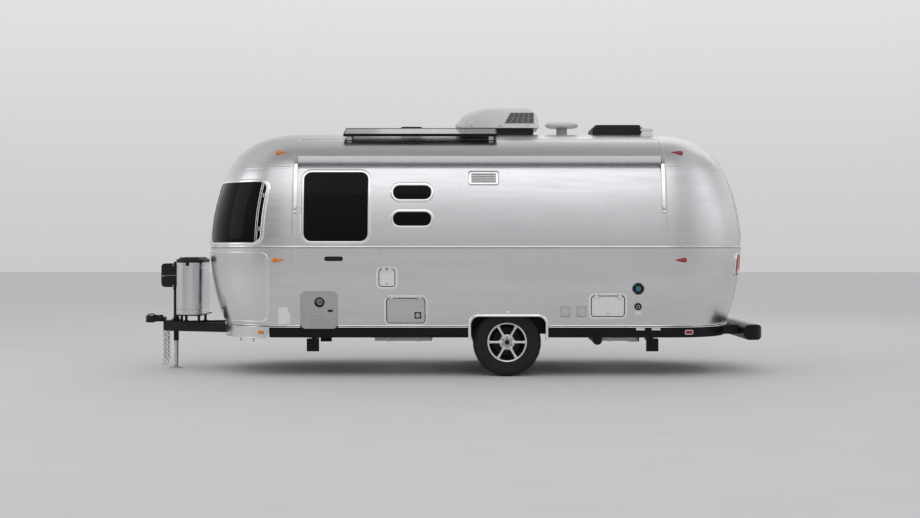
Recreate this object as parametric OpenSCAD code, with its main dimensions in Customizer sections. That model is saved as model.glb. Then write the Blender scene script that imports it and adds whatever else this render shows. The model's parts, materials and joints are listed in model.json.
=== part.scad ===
// Single-axle travel caravan with a riveted sheet-metal shell, rounded ends and a ball hitch.
// Millimetres; +X is forward, +Y is the street side, +Z is up; the ground is Z = 0.

/* [Body] */
// Width of the body at the belt line
body_w = 2440; // [2420:2:2460]
// Length of the straight middle of the body
mid_l = 3796; // [3780:2:3810]
// Depth of the front end at the belt line
nose_d = 1003; // [990:1:1015]
// Depth of the rear end at the belt line
tail_d = 948; // [935:1:960]
// Height of the belt line
belt_z = 1340; // [1335:1:1345]
// Thickness of the walls and the roof
wall_t = 45; // [42:1:50]
// Radius of the roof shoulders
shoulder_r = 600; // [580:5:620]
// Inset of the side walls at their lower edge
sill_in = 70; // [62:1:76]
// Inset of the ends at their lower edge
tuck_in = 165; // [155:1:175]

/* [Running gear] */
// Outer diameter of the tyres
tyre_d = 702; // [692:2:706]
// Width of the tyres
tyre_w = 225; // [205:1:230]
// Diameter of the wheel rims over the flanges
rim_d = 405; // [395:1:410]
// Number of wheel spokes
spokes = 6; // [5:1:8]
// Inset of the tyre middles from the sides of the body
wheel_in = 220; // [218:1:230]

/* [Openings] */
// Width of the entry door
door_w = 660; // [640:2:680]
// Height of the entry door
door_h = 1730; // [1700:5:1740]
// Gap around doors and hatches
door_gap = 9; // [9:0.5:11]
// Width of the window frames on the wall
frame_w = 22; // [18:1:24]

/* [Hidden] */
$fn = 96;
half_w = body_w / 2;
front_x = 1547;
rear_x = front_x - mid_l;
crown_z = belt_z + half_w;
// Place at a share of the straight middle, and the rear edge of a piece of width w that is centred there
function along(s) = rear_x + s * mid_l;
function mid_at(s, w) = along(s) - w / 2;
wall_z = 530;
floor_t = 20;
floor_z = wall_z - floor_t;
fit = 0.05;
skin = 6;
deep = 420;
inner_y = half_w - 300;
big = 9000;
fine = 360;

// Columns of an arc: middle across, middle up, radius, angle where it ends
CU = 0;
CV = 1;
CR = 2;
CT = 3;

function low_r(inset) = (pow(belt_z - wall_z, 2) + inset * inset) / (2 * inset);

// Three tangent arcs from an upright wall at the belt line to a level roof, with a lower arc
function arcs(reach, r, a, b, inset) =
  let (
    p = reach - r * (cos(a) - cos(b)),
    q = half_w - r * (sin(b) - sin(a)),
    det = (1 - cos(a)) * (1 - sin(b)) - cos(b) * sin(a),
    r1 = (p * (1 - sin(b)) - q * cos(b)) / det,
    r3 = ((1 - cos(a)) * q - sin(a) * p) / det,
    c1 = [reach - r1, belt_z],
    c2 = c1 + (r1 - r) * [cos(a), sin(a)],
    c3 = c2 + (r - r3) * [cos(b), sin(b)]
  )
  [
    [reach - low_r(inset), belt_z, low_r(inset), 0],
    [c1[0], c1[1], r1, a],
    [c2[0], c2[1], r, b],
    [c3[0], c3[1], r3, 90]
  ];

wall_a = 15;
roof_a = 90 - wall_a;
cap_a = 25;
cap_r = 684;
SIDE = arcs(half_w, shoulder_r, wall_a, roof_a, sill_in);
NOSE = arcs(nose_d, cap_r, cap_a, 90 - cap_a, tuck_in);
TAIL = arcs(tail_d, cap_r, cap_a, 90 - cap_a, tuck_in);
// Columns of an end: seam, way it points, profile on the centre line
FRONT = [front_x, 1, NOSE];
REAR = [rear_x, -1, TAIL];

function top_of(a, w) = a[CV] + (a[CR] - w) * sin(a[CT]);
function arc_of(p, z, w) = z <= belt_z ? 0 : z <= top_of(p[1], w) ? 1 : z <= top_of(p[2], w) ? 2 : 3;
function reach_at(a, z, w) = a[CU] + sqrt(max(0, pow(a[CR] - w, 2) - pow(z - a[CV], 2)));
// Half width, or depth, of a profile at height z, w inside its skin
function reach(p, z, w = 0) = reach_at(p[arc_of(p, z, w)], z, w);
function turn_arc(t) = t <= wall_a ? 1 : t <= roof_a ? 2 : 3;
// Height on the side profile where its normal has turned by t, w inside the skin
function turn_z(t, w = 0) = SIDE[turn_arc(t)][CV] + (SIDE[turn_arc(t)][CR] - w) * sin(t);
// Point on the side profile where its normal has turned by t, w inside the skin
function turn_pt(t, w = 0) =
  let (a = SIDE[turn_arc(t)])
  [a[CU] + (a[CR] - w) * cos(t), a[CV] + (a[CR] - w) * sin(t)];

// Plan of an end: a rounded rectangle, fuller than an ellipse
plan_p = 2.5;
plan_n = 28;
function plan_f(v) = sign(v) * pow(abs(v), 2 / plan_p);
function cap_row(e, z, w) =
  [for (i = [0:plan_n])
    let (f = -90 + 180 * i / plan_n)
    [
      e[0] + e[1] * reach(e[2], z, w) * plan_f(cos(f)),
      e[1] * reach(SIDE, z, w) * plan_f(sin(f)),
      z
    ]
  ];
function flat(row) = [for (p = row) [p[0], p[1]]];
function plan(z, w) = concat(flat(cap_row(FRONT, z, w)), flat(cap_row(REAR, z, w)));
function two(a, b, c, d) = [[a, b, c], [a, c, d]];

// Shell of an end between two skins, through the given heights; closed over the crown or not
module cap_skin(e, zo, zi, w0, w1, crown = false) {
  n = len(zo);
  k = plan_n + 1;
  m = plan_n;
  s = n * k;
  t = (n - 1) * k;
  points = concat(
    [for (z = zo) each cap_row(e, z, w0)],
    [for (z = zi) each cap_row(e, z, w1)]
  );
  sides = [for (r = [0:n - 2], i = [0:m - 1])
    let (a = r * k + i, b = a + 1, c = b + k, d = a + k)
    each concat(two(a, d, c, b), two(s + a, s + b, s + c, s + d))];
  seams = [for (r = [0:n - 2])
    let (a = r * k, b = a + m)
    each concat(two(s + a, s + a + k, a + k, a), two(b, b + k, s + b + k, s + b))];
  foot = [for (i = [0:m - 1]) each two(i, i + 1, s + i + 1, s + i)];
  rim = [for (i = [0:m - 1]) each two(s + t + i, s + t + i + 1, t + i + 1, t + i)];
  lid = [
    [for (i = [m:-1:0]) t + i],
    [for (i = [0:m]) s + t + i],
    [s + t + m, t + m, t, s + t]
  ];
  polyhedron(points, concat(sides, seams, foot, crown ? lid : rim), convexity = 8);
}

cap_turns = [for (t = [0:5:85]) t];
cap_levels = [for (i = [0:5]) wall_z + (belt_z - wall_z) * i / 5];

module cap_upper(e, w0, w1, turns) {
  cap_skin(
    e,
    [for (t = turns) turn_z(t, w0)],
    [for (t = turns) turn_z(t, w1)],
    w0,
    w1,
    turns[len(turns) - 1] > roof_a + 10
  );
}

module cap_lower(e, w0, w1, from = 0) {
  rows = [for (i = [from:len(cap_levels) - 1]) cap_levels[i]];
  cap_skin(e, rows, rows, w0, w1);
}

// Flat profile in Y and Z, drawn out along X
module along_x(x0, x1) {
  translate([x0, 0, 0]) rotate([90, 0, 90]) linear_extrude(x1 - x0) children();
}

// Flat profile in X and Z, drawn out along Y
module along_y(y0, y1) {
  translate([0, y1, 0]) rotate([90, 0, 0]) linear_extrude(y1 - y0) children();
}

module both_sides() {
  children();
  mirror([0, 1, 0]) children();
}

module box(x0, x1, y0, y1, z0, z1) {
  translate([x0, y0, z0]) cube([x1 - x0, y1 - y0, z1 - z0]);
}

// Rounded rectangle from its lower left corner
module pane(x, z, w, h, r) {
  translate([x, z]) {
    translate([r, 0]) square([w - 2 * r, h]);
    translate([0, r]) square([w, h - 2 * r]);
    for (u = [r, w - r], v = [r, h - r]) translate([u, v]) circle(r);
  }
}

// Part of one arc of the side profile between two depths below the skin
module arc_band(a, t0, t1, d0, d1) {
  far = 2 * a[CR];
  translate([a[CU], a[CV]]) intersection() {
    difference() {
      circle(a[CR] - d0, $fn = fine);
      circle(a[CR] - d1, $fn = fine);
    }
    polygon([[0, 0], far * [cos(t0), sin(t0)], far * [cos(t1), sin(t1)]]);
  }
}

sill_t = -asin((belt_z - wall_z) / SIDE[0][CR]);

module lower_band(d0, d1) {
  intersection() {
    arc_band(SIDE[0], 2 * sill_t, 0, d0, d1);
    translate([0, wall_z]) square([body_w, belt_z - wall_z]);
  }
}

module upper_band(d0, d1) {
  arc_band(SIDE[1], 0, wall_a, d0, d1);
  arc_band(SIDE[2], wall_a, roof_a, d0, d1);
}

// Angle left free at each edge of the roof sheet
roof_cut = 0.006;
module roof_band(d0, d1) {
  arc_band(SIDE[3], roof_a + roof_cut, 180 - roof_a - roof_cut, d0, d1);
}

// What stands proud of the street side wall, cut to sit on its skin or to sink into it
module on_wall(sink = 0) {
  difference() {
    children();
    along_x(rear_x, front_x) {
      lower_band(sink, deep);
      upper_band(sink, deep);
    }
  }
}

// What stands on the roof, cut to sit on its skin
module on_roof() {
  difference() {
    children();
    along_x(rear_x, front_x) {
      roof_band(0, deep);
      upper_band(0, deep);
      mirror([1, 0]) upper_band(0, deep);
    }
  }
}

// Columns of a pane or plate: rear edge, lower edge, width, height, corner radius
PX = 0;
PZ = 1;
PW = 2;
PH = 3;
PR = 4;

side_win_x = along(0.7974);
side_win_w = 0.1786 * mid_l;
slot_x = along(0.6275);
slot_w = 0.108 * mid_l;
kerb_win_w = 0.1791 * mid_l;
WIN_LEFT = [
  [side_win_x, 1379, side_win_w, 728, 90],
  [slot_x, 1809, slot_w, 161, 78],
  [slot_x, 1537, slot_w, 161, 78]
];
WIN_RIGHT = [
  [side_win_x, 1379, side_win_w, 728, 90],
  [along(0.3264), 1450, kerb_win_w, 420, 80],
  [along(0.0709), 1450, kerb_win_w, 420, 80]
];
glass_t = 10;
frame_lap = 10;
door_x = mid_at(0.6583, door_w);
door_z = wall_z + 30;
door_win_in = 140;
door_win_z = 1480;
door_win_h = 500;
door_win_r = 80;
DOOR = [door_x, door_z, door_w, door_h, 90];
DOOR_WIN = [door_x + door_win_in, door_win_z, door_w - 2 * door_win_in, door_win_h, door_win_r];

// Further column of a hatch: thickness of its lid
PT = 5;
access_w = 384;
service_w = 329;
fill_w = 154;
ACCESS = [mid_at(0.6984, access_w), 555, access_w, 248, 30, 24];
SERVICE = [mid_at(0.1545, service_w), 623, service_w, 202, 26, 24];
FILL = [mid_at(0.7489, fill_w), 932, fill_w, 167, 22, 15];
HATCHES = [ACCESS, SERVICE, FILL];

module sheet(p, grow = 0) {
  pane(p[PX] - grow, p[PZ] - grow, p[PW] + 2 * grow, p[PH] + 2 * grow, p[PR] + grow);
}

// Prism through the street side wall
module through(p, grow = 0) {
  along_y(half_w / 2, body_w) sheet(p, grow);
}

module ring_through(p) {
  difference() {
    through(p, frame_w);
    through(p, -frame_lap);
  }
}

wheel_x = along(0.4249);
wheel_z = tyre_d / 2;
wheel_y = half_w - wheel_in;
arch_l = 765;
arch_r = 80;
arch_z = 616;
arch_back = 10;
arch_drop = 200;
ARCH = [wheel_x - arch_l / 2 - arch_back, wall_z - arch_drop, arch_l, arch_z - wall_z + arch_drop, arch_r];

module lower_wall_left() {
  color("silver") difference() {
    along_x(rear_x, front_x) lower_band(0, wall_t);
    for (p = HATCHES) through(p, door_gap);
    through(ARCH);
  }
}

module lower_wall_right() {
  color("silver") mirror([0, 1, 0]) difference() {
    along_x(rear_x, front_x) lower_band(0, wall_t);
    through(DOOR, door_gap);
    through(ARCH);
  }
}

module upper_wall_left() {
  color("silver") difference() {
    along_x(rear_x, front_x) upper_band(0, wall_t);
    for (p = WIN_LEFT) through(p);
  }
}

module upper_wall_right() {
  color("silver") mirror([0, 1, 0]) difference() {
    along_x(rear_x, front_x) upper_band(0, wall_t);
    for (p = WIN_RIGHT) through(p);
    through(DOOR, door_gap);
  }
}

module roof() {
  color("silver") along_x(rear_x, front_x) roof_band(0, wall_t);
}

module glass_in(list) {
  for (p = list) intersection() {
    along_x(p[PX] - 1, p[PX] + p[PW] + 1) upper_band(0, glass_t);
    through(p);
  }
}

module frames_on(list) {
  for (p = list) intersection() {
    along_x(p[PX] - 2 * frame_w, p[PX] + p[PW] + 2 * frame_w) upper_band(-skin, 0);
    ring_through(p);
  }
}

module side_windows() {
  color("dimgray") {
    glass_in(WIN_LEFT);
    mirror([0, 1, 0]) glass_in(WIN_RIGHT);
  }
}

module side_frames() {
  color("gainsboro") {
    frames_on(WIN_LEFT);
    mirror([0, 1, 0]) frames_on(WIN_RIGHT);
  }
}

// Windows of the ends: the middle pane ahead, one pane on each front corner, one pane behind
end_win_y = 0.369 * half_w;
tail_win_y = 0.426 * half_w;
corner_w = 850;
END_WIN = [-end_win_y, 1366, 2 * end_win_y, 644, 90];
CORNER_WIN = [-corner_w / 2, 1366, corner_w, 644, 90];
TAIL_WIN = [-tail_win_y, 1420, 2 * tail_win_y, 500, 90];
corner_from = [0.302 * nose_d, 0.9566 * half_w];
corner_to = [0.8903 * nose_d, 0.4508 * half_w];
corner_in = 300;
corner_out = 500;
beyond = 100;
corner_at = (corner_from + corner_to) / 2;
corner_turn = atan2(corner_to[0] - corner_from[0], corner_from[1] - corner_to[1]);
window_turns = [0, 5, 10, 15];

module front_panes(grow) {
  along_x(front_x + nose_d / 2, front_x + nose_d + beyond) sheet(END_WIN, grow);
  both_sides() translate([front_x + corner_at[0], corner_at[1], 0]) rotate([0, 0, corner_turn])
    along_x(-corner_in, corner_out) sheet(CORNER_WIN, grow);
}

module rear_pane(grow) {
  along_x(rear_x - tail_d - beyond, rear_x - tail_d / 2) sheet(TAIL_WIN, grow);
}

module front_cap_upper() {
  color("silver") difference() {
    cap_upper(FRONT, 0, wall_t, concat(cap_turns, [89]));
    front_panes(0);
  }
}

module rear_cap_upper() {
  color("silver") difference() {
    cap_upper(REAR, 0, wall_t, concat(cap_turns, [89]));
    rear_pane(0);
  }
}

module front_cap_lower() {
  color("silver") cap_lower(FRONT, 0, wall_t);
}

module rear_cap_lower() {
  color("silver") cap_lower(REAR, 0, wall_t);
}

module end_windows() {
  color("dimgray") {
    intersection() {
      cap_upper(FRONT, 0, glass_t, window_turns);
      front_panes(0);
    }
    intersection() {
      cap_upper(REAR, 0, glass_t, window_turns);
      rear_pane(0);
    }
  }
}

module end_frames() {
  color("gainsboro") {
    intersection() {
      cap_upper(FRONT, -skin, 0, window_turns);
      difference() {
        front_panes(frame_w);
        front_panes(-frame_lap);
      }
    }
    intersection() {
      cap_upper(REAR, -skin, 0, window_turns);
      difference() {
        rear_pane(frame_w);
        rear_pane(-frame_lap);
      }
    }
  }
}

// Floor, cut out over the wheels; its edge is the moulding under the walls
arch_x0 = ARCH[PX];
arch_x1 = arch_x0 + arch_l;
tyre_gap = 18;
well_y0 = wheel_y - tyre_w / 2 - tyre_gap;
seam = 0.3;
well_y1 = reach(SIDE, wall_z, wall_t) - 1;
well_z = tyre_d + 58;
well_t = 8;

module floor_panel() {
  color("darkgray") difference() {
    translate([0, 0, floor_z]) linear_extrude(floor_t) polygon(plan(wall_z, 0));
    both_sides() box(arch_x0, arch_x1, well_y0, body_w, 0, belt_z);
  }
}

// Wheel wells of four plates that stand on the floor around its cut-outs
module wheel_wells() {
  color("#2b2b2b") both_sides() {
    for (x = [arch_x0 - well_t, arch_x1]) box(x, x + well_t, well_y0, well_y1, wall_z, well_z - seam);
    box(arch_x0 - well_t, arch_x1 + well_t, well_y0 - well_t, well_y0 - seam, wall_z, well_z - seam);
    box(arch_x0 - well_t, arch_x1 + well_t, well_y0 - well_t, well_y1, well_z, well_z + well_t);
  }
}

// Bright trim around the wheel arches, on the wall above and the skirt below
trim_w = 28;
trim_foot = 372;
trim_out = 12;
skirt_y1 = reach(SIDE, wall_z, 0);
module arch_ring() {
  difference() {
    pane(arch_x0 - trim_w, 0, arch_l + 2 * trim_w, arch_z + trim_w, arch_r + trim_w);
    pane(arch_x0, -arch_r, arch_l, arch_z + arch_r, arch_r);
    translate([arch_x0 - 2 * trim_w, 0]) square([arch_l + 4 * trim_w, trim_foot]);
  }
}

module wheel_arches() {
  color("gainsboro") both_sides() {
    intersection() {
      along_x(arch_x0 - 2 * trim_w, arch_x1 + 2 * trim_w) lower_band(-trim_out, 0);
      along_y(half_w / 2, body_w) arch_ring();
    }
    intersection() {
      along_y(skirt_y1, skirt_y1 + trim_out) arch_ring();
      box(rear_x, front_x, 0, body_w, 0, wall_z);
    }
  }
}

// Skirt under the floor, and the bright wrap that takes its place around the front
skirt_z = 402;
skirt_in = 12;
skirt_t = 8;
wrap_x = front_x + 263;
wrap_lap = 10;
wrap_z = 395;
module band_plan(w0, w1) {
  difference() {
    polygon(plan(wall_z, w0));
    polygon(plan(wall_z, w1));
  }
}

module skirt() {
  color("#222222") difference() {
    translate([0, 0, skirt_z]) linear_extrude(floor_z - skirt_z) band_plan(skirt_in, skirt_in + skirt_t);
    box(wrap_x - 1, big, -body_w, body_w, 0, belt_z);
    both_sides() box(arch_x0, arch_x1, half_w / 2, body_w, 0, belt_z);
    both_sides() box(-big, rear_x, rail_y - rail_w, rail_y + rail_w, 0, belt_z);
  }
}

// Stone guards on the front corners, with the wrap below them
GUARD = [wrap_x - wrap_lap, 565, nose_d, 709, 90];
guard_t = 4;
guard_gap = 760;
module front_guards() {
  color("lightgray") difference() {
    union() {
      intersection() {
        cap_lower(FRONT, -guard_t, 0);
        along_y(-body_w, body_w) sheet(GUARD);
      }
      translate([0, 0, wrap_z]) linear_extrude(floor_z - wrap_z) band_plan(0, skirt_t);
    }
    box(-big, wrap_x - wrap_lap, -body_w, body_w, 0, belt_z);
    box(-big, wrap_x, -body_w, body_w, 0, wall_z);
    box(wrap_x, big, -guard_gap / 2, guard_gap / 2, 0, belt_z);
  }
}

// Ladder frame with a drawbar of two rails that meet at the coupler
rail_y = 620;
rail_w = 50;
rail_h = 100;
rail_z = floor_z - rail_h;
rail_x1 = 1600;
rail_x0 = rear_x - tail_d + 97;
bar_y = 55;
bar_x = 3090;
cross_in = 200;
CROSS = [rail_x0 + cross_in, rear_x - 150, along(0.2368), along(0.5661), along(0.8427), rail_x1 - 80];
bar_half = 27;
jack_x = 2976;
jack_r = 28.5;
plate_t = 12;
tray_x0 = 2640;
tray_x1 = 2936;
tray_z = 586;
tray_t = 10;
tray_y = 356;
post_r = 15;
POSTS = [2690, 2890];
function bar_at(x) = bar_y + (bar_x - x) * (rail_y - bar_y) / (bar_x - rail_x1);

module frame_rails() {
  color("#2b2b2b") both_sides()
    box(rail_x0, rail_x1, rail_y - rail_w / 2, rail_y + rail_w / 2, rail_z, floor_z);
}

module cross_members() {
  color("#2b2b2b") for (x = CROSS)
    box(x, x + rail_w, -rail_y + rail_w / 2, rail_y - rail_w / 2, rail_z, floor_z);
}

module drawbar() {
  color("#2b2b2b") both_sides() translate([0, 0, rail_z]) linear_extrude(rail_h) polygon([
    [rail_x1, rail_y - bar_half],
    [bar_x, bar_y - bar_half],
    [bar_x, bar_y + bar_half],
    [rail_x1, rail_y + bar_half]
  ]);
}

module gas_tray() {
  color("#2b2b2b") {
    both_sides() for (x = POSTS)
      translate([x, bar_at(x), floor_z]) cylinder(h = tray_z - floor_z, r = post_r);
    box(tray_x0, tray_x1, -tray_y, tray_y, tray_z, tray_z + tray_t);
  }
}

// Ball coupler at the tip of the drawbar, with its latch on the neck
tip_x = 3310;
ball_r = 29.6;
ball_x = 3258;
socket_r = tip_x - ball_x;
socket_z = 500;
socket_h = 75;
socket_in = 25;
neck_w = 90;
neck_h = 50;
latch_w = 24;
latch_l = 100;
latch_h = 22;
latch_in = 30;
a_frame_l = 60;
module coupler() {
  color("#2b2b2b") {
    difference() {
      union() {
        translate([ball_x, 0, socket_z]) cylinder(h = socket_h, r = socket_r);
        box(bar_x, ball_x, -neck_w / 2, neck_w / 2, floor_z, floor_z + neck_h);
      }
      translate([ball_x, 0, socket_z - 1]) cylinder(h = socket_in + 1, r = ball_r);
      translate([ball_x, 0, socket_z + socket_in]) sphere(ball_r);
    }
    box(bar_x, bar_x + plate_t, -bar_y - bar_half, bar_y + bar_half, rail_z, floor_z + plate_t);
    difference() {
      box(jack_x - a_frame_l, bar_x, -bar_at(jack_x), bar_at(jack_x), floor_z, floor_z + plate_t);
      translate([jack_x, 0, rail_z]) cylinder(h = 2 * rail_h, r = jack_r);
    }
    translate([bar_x + latch_in, -latch_w / 2, floor_z + neck_h]) cube([latch_l, latch_w, latch_h]);
  }
}

// Jack post with its motor head, and the leg that stands on the ground
jack_z0 = 300;
jack_z1 = 890;
jack_end = 40;
leg_r = 25;
leg_in = 140;
foot_r = 70;
foot_t = 12;
head_z = 1150;
head_w = 150;
head_l = 190;
head_back = 40;
head_r = 40;
knob_r = 24;
knob_h = 20;
module jack_tube() {
  color("#2b2b2b") {
    difference() {
      translate([jack_x, 0, jack_z0]) cylinder(h = jack_z1 - jack_z0, r = jack_r);
      translate([jack_x, 0, jack_z0 - 1]) cylinder(h = jack_z1 - jack_z0 - jack_end, r = leg_r);
    }
    along_y(-head_w / 2, head_w / 2) pane(jack_x - head_back, jack_z1, head_l, head_z - jack_z1, head_r);
    translate([jack_x, 0, head_z]) cylinder(h = knob_h, r = knob_r);
  }
}

module jack_leg() {
  color("gainsboro") {
    translate([jack_x, 0, foot_t]) cylinder(h = jack_z1 - foot_t - leg_in, r = leg_r);
    translate([jack_x, 0, 0]) cylinder(h = foot_t, r = foot_r);
  }
}

// Cover over the gas bottles
cover_x0 = 2647;
cover_x1 = 2929;
cover_y = 345;
cover_z = 1160;
cover_top = 1218;
cover_r = 120;
cover_t = 5;
lid_step = 20;
lid_in = 30;
module cover_plan(inset) {
  pane(
    cover_x0 + inset,
    -cover_y + inset,
    cover_x1 - cover_x0 - 2 * inset,
    2 * (cover_y - inset),
    cover_r - inset
  );
}

module gas_cover() {
  color("lightgray") translate([0, 0, tray_z + tray_t]) difference() {
    linear_extrude(cover_z - tray_z - tray_t) cover_plan(0);
    translate([0, 0, -1]) linear_extrude(cover_z - tray_z - tray_t + 2) cover_plan(cover_t);
  }
}

module gas_cover_lid() {
  color("#222222") translate([0, 0, cover_z]) {
    linear_extrude(cover_top - cover_z - lid_step) cover_plan(0);
    linear_extrude(cover_top - cover_z) cover_plan(lid_in);
  }
}

// Safety chains of round links that hang from the drawbar
link_r = 17;
wire_r = 4.5;
link_gap = 0.3;
link_pitch = 2 * (link_r - wire_r - link_gap);
chain_x = 3080;
chain_y = 95;
links = 13;
module safety_chains() {
  color("gainsboro") both_sides() {
    for (i = [0:links - 1])
      translate([chain_x, chain_y, rail_z - link_r + wire_r - i * link_pitch])
        rotate([90, 0, 90 * (i % 2)])
          rotate_extrude() translate([link_r, 0]) circle(wire_r, $fn = 24);
  }
}

// Axle tube on brackets under the rails, trailing arms and wheel spindles
axle_back = 170;
axle_x = wheel_x + axle_back;
axle_r = 38;
axle_z = rail_z - axle_r;
pad_l = 120;
arm_in = 170;
arm_y = wheel_y - arm_in;
arm_t = 36;
arm_h = 60;
arm_boss_r = 48;
knuckle_r = 36;
spindle_r = 20;
spindle_l = 190;
arm_l = norm([wheel_x - axle_x, wheel_z - axle_z]);
module trailing_arm() {
  translate([axle_x, arm_y, axle_z]) rotate([-90, 0, 0]) {
    cylinder(h = arm_t, r = arm_boss_r);
    rotate([0, 0, -atan2(wheel_z - axle_z, wheel_x - axle_x)]) {
      translate([0, -arm_h / 2, 0]) cube([arm_l, arm_h, arm_t]);
      translate([arm_l, 0, 0]) cylinder(h = arm_t, r = knuckle_r);
      translate([arm_l, 0, 0]) cylinder(h = spindle_l, r = spindle_r);
    }
  }
}

module axle() {
  color("#2b2b2b") {
    translate([axle_x, -arm_y, axle_z]) rotate([-90, 0, 0]) cylinder(h = 2 * arm_y, r = axle_r);
    both_sides() {
      box(axle_x - pad_l / 2, axle_x + pad_l / 2, rail_y - rail_w, rail_y + rail_w, axle_z, rail_z);
      trailing_arm();
    }
  }
}

// Wheels, drawn with their axis up and turned into place
rim_r = rim_d / 2;
bead_r = 190.5;
well_r = 176;
bead_s = 92;
lip_s = 100;
face_s = 84;
face_t = 22;
spoke_w = 24;
hub_r = 78;
cap_hub_r = 39;
cap_hub_h = 14;
spoke_lap = 8;
hub_wall = 5;
hub_gap = 6;
tyre_edge = 45;
drum_r = 140;
drum_s = -118;
drum_h = 60;
drum_neck_r = 58;
module wheel_place() {
  translate([wheel_x, wheel_y, wheel_z]) rotate([-90, 0, 0]) children();
}

module rim_profile() {
  polygon([
    [well_r, -lip_s],
    [rim_r, -lip_s],
    [rim_r, -bead_s],
    [bead_r, -bead_s],
    [bead_r, bead_s],
    [rim_r, bead_s],
    [rim_r, lip_s],
    [well_r, lip_s]
  ]);
}

module tyre() {
  wheel_place() rotate_extrude() difference() {
    pane(bead_r, -tyre_w / 2, tyre_d / 2 - bead_r, tyre_w, tyre_edge);
    translate([0, -tyre_w]) square([rim_r + 1, tyre_w - bead_s]);
    translate([0, bead_s]) square([rim_r + 1, tyre_w]);
  }
}

module rim() {
  wheel_place() {
    rotate_extrude() rim_profile();
    for (i = [0:spokes - 1]) rotate([0, 0, 360 * i / spokes])
      translate([hub_r - spoke_lap, -spoke_w / 2, face_s - face_t])
        cube([well_r - hub_r + 2 * spoke_lap, spoke_w, face_t]);
    difference() {
      translate([0, 0, face_s - face_t]) cylinder(h = face_t, r = hub_r);
      translate([0, 0, face_s - face_t - 1]) cylinder(h = face_t - hub_wall + 1, r = spindle_r + hub_gap);
    }
    translate([0, 0, face_s]) cylinder(h = cap_hub_h, r = cap_hub_r);
  }
}

module drum() {
  wheel_place() difference() {
    union() {
      translate([0, 0, drum_s]) cylinder(h = drum_h, r = drum_r);
      translate([0, 0, drum_s + drum_h]) cylinder(h = face_s - face_t - drum_s - drum_h, r = drum_neck_r);
    }
    translate([0, 0, 2 * drum_s]) cylinder(h = 3 * tyre_w, r = spindle_r + fit);
  }
}

module tyre_left() {
  color("#222222") tyre();
}

module tyre_right() {
  color("#222222") mirror([0, 1, 0]) tyre();
}

module rim_left() {
  color("silver") rim();
}

module rim_right() {
  color("silver") mirror([0, 1, 0]) rim();
}

module drum_left() {
  color("#3a3a3a") drum();
}

module drum_right() {
  color("#3a3a3a") mirror([0, 1, 0]) drum();
}

// Entry door on the kerb side with its window, frame, handle and hinges
hinge_x = door_x + door_w + door_gap / 2;
hinge_out = 10;
hinge_y = half_w + hinge_out;
leaf_l = 44;
leaf_sink = 2;
leaf_gap = 1;
hinge_r = 8;
pin_r = 4;
knuckle_l = 30;
hinge_z = [760, 1050, 1700];
module door_panel() {
  color("silver") mirror([0, 1, 0]) {
    difference() {
      intersection() {
        along_x(door_x, door_x + door_w) {
          lower_band(0, wall_t);
          upper_band(0, wall_t);
        }
        through(DOOR);
      }
      through(DOOR_WIN);
    }
    for (z = hinge_z) difference() {
      union() {
        translate([hinge_x, hinge_y, z + leaf_gap]) cylinder(h = knuckle_l, r = hinge_r);
        on_wall(leaf_sink) translate([hinge_x - leaf_l, inner_y, z + leaf_gap])
          cube([leaf_l - door_gap / 2, hinge_y + hinge_r - inner_y, knuckle_l]);
      }
      translate([hinge_x, hinge_y, z]) cylinder(h = 2 * knuckle_l, r = pin_r + fit);
    }
  }
}

module door_hinge(z) {
  translate([hinge_x, hinge_y, z - knuckle_l]) cylinder(h = knuckle_l, r = hinge_r);
  translate([hinge_x, hinge_y, z]) cylinder(h = knuckle_l, r = pin_r);
  on_wall() box(hinge_x + door_gap / 2, hinge_x + leaf_l, inner_y, hinge_y + hinge_r, z - knuckle_l, z);
}

module door_window() {
  color("dimgray") mirror([0, 1, 0]) glass_in([DOOR_WIN]);
}

module door_window_frame() {
  color("gainsboro") mirror([0, 1, 0]) frames_on([DOOR_WIN]);
}

HANDLE = [door_x + 40, 1120, 70, 150, 20];
handle_out = 8;
lever_out = 18;
LEVER = [HANDLE[PX] + 10, HANDLE[PZ] + 20, 22, 110, 8];
module door_handle() {
  color("#222222") mirror([0, 1, 0]) {
    intersection() {
      along_x(HANDLE[PX], HANDLE[PX] + HANDLE[PW]) lower_band(-handle_out, 0);
      through(HANDLE);
    }
    along_y(half_w, half_w + lever_out) sheet(LEVER);
  }
}

// Hatches with lids that lift on two small hinges at the upper edge
lid_off = 12;
lid_r = 6;
lid_pin_r = 3;
lid_knuckle = 30;
lid_leaf = 12;
lid_leaf_h = 20;
lid_end = 30;
function lid_z(p) = p[PZ] + p[PH] + door_gap / 2;
function lid_y(p) = reach(SIDE, lid_z(p)) + lid_off;
function lid_stations(p) = [p[PX] + lid_end, p[PX] + p[PW] - lid_end - lid_knuckle];

module bar_x_at(p, x, l, r) {
  translate([x, lid_y(p), lid_z(p)]) rotate([0, 90, 0]) cylinder(h = l, r = r, $fn = 48);
}

module lid(p) {
  intersection() {
    along_x(p[PX], p[PX] + p[PW]) lower_band(0, p[PT]);
    through(p);
  }
  for (x = lid_stations(p)) difference() {
    union() {
      bar_x_at(p, x, lid_knuckle, lid_r);
      on_wall(leaf_sink) translate([x, inner_y, lid_z(p) - lid_leaf_h])
        cube([lid_knuckle, lid_y(p) + lid_r - inner_y, lid_leaf_h - door_gap / 2]);
    }
    bar_x_at(p, x - 1, lid_knuckle + 2, lid_pin_r + fit);
  }
}

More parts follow.
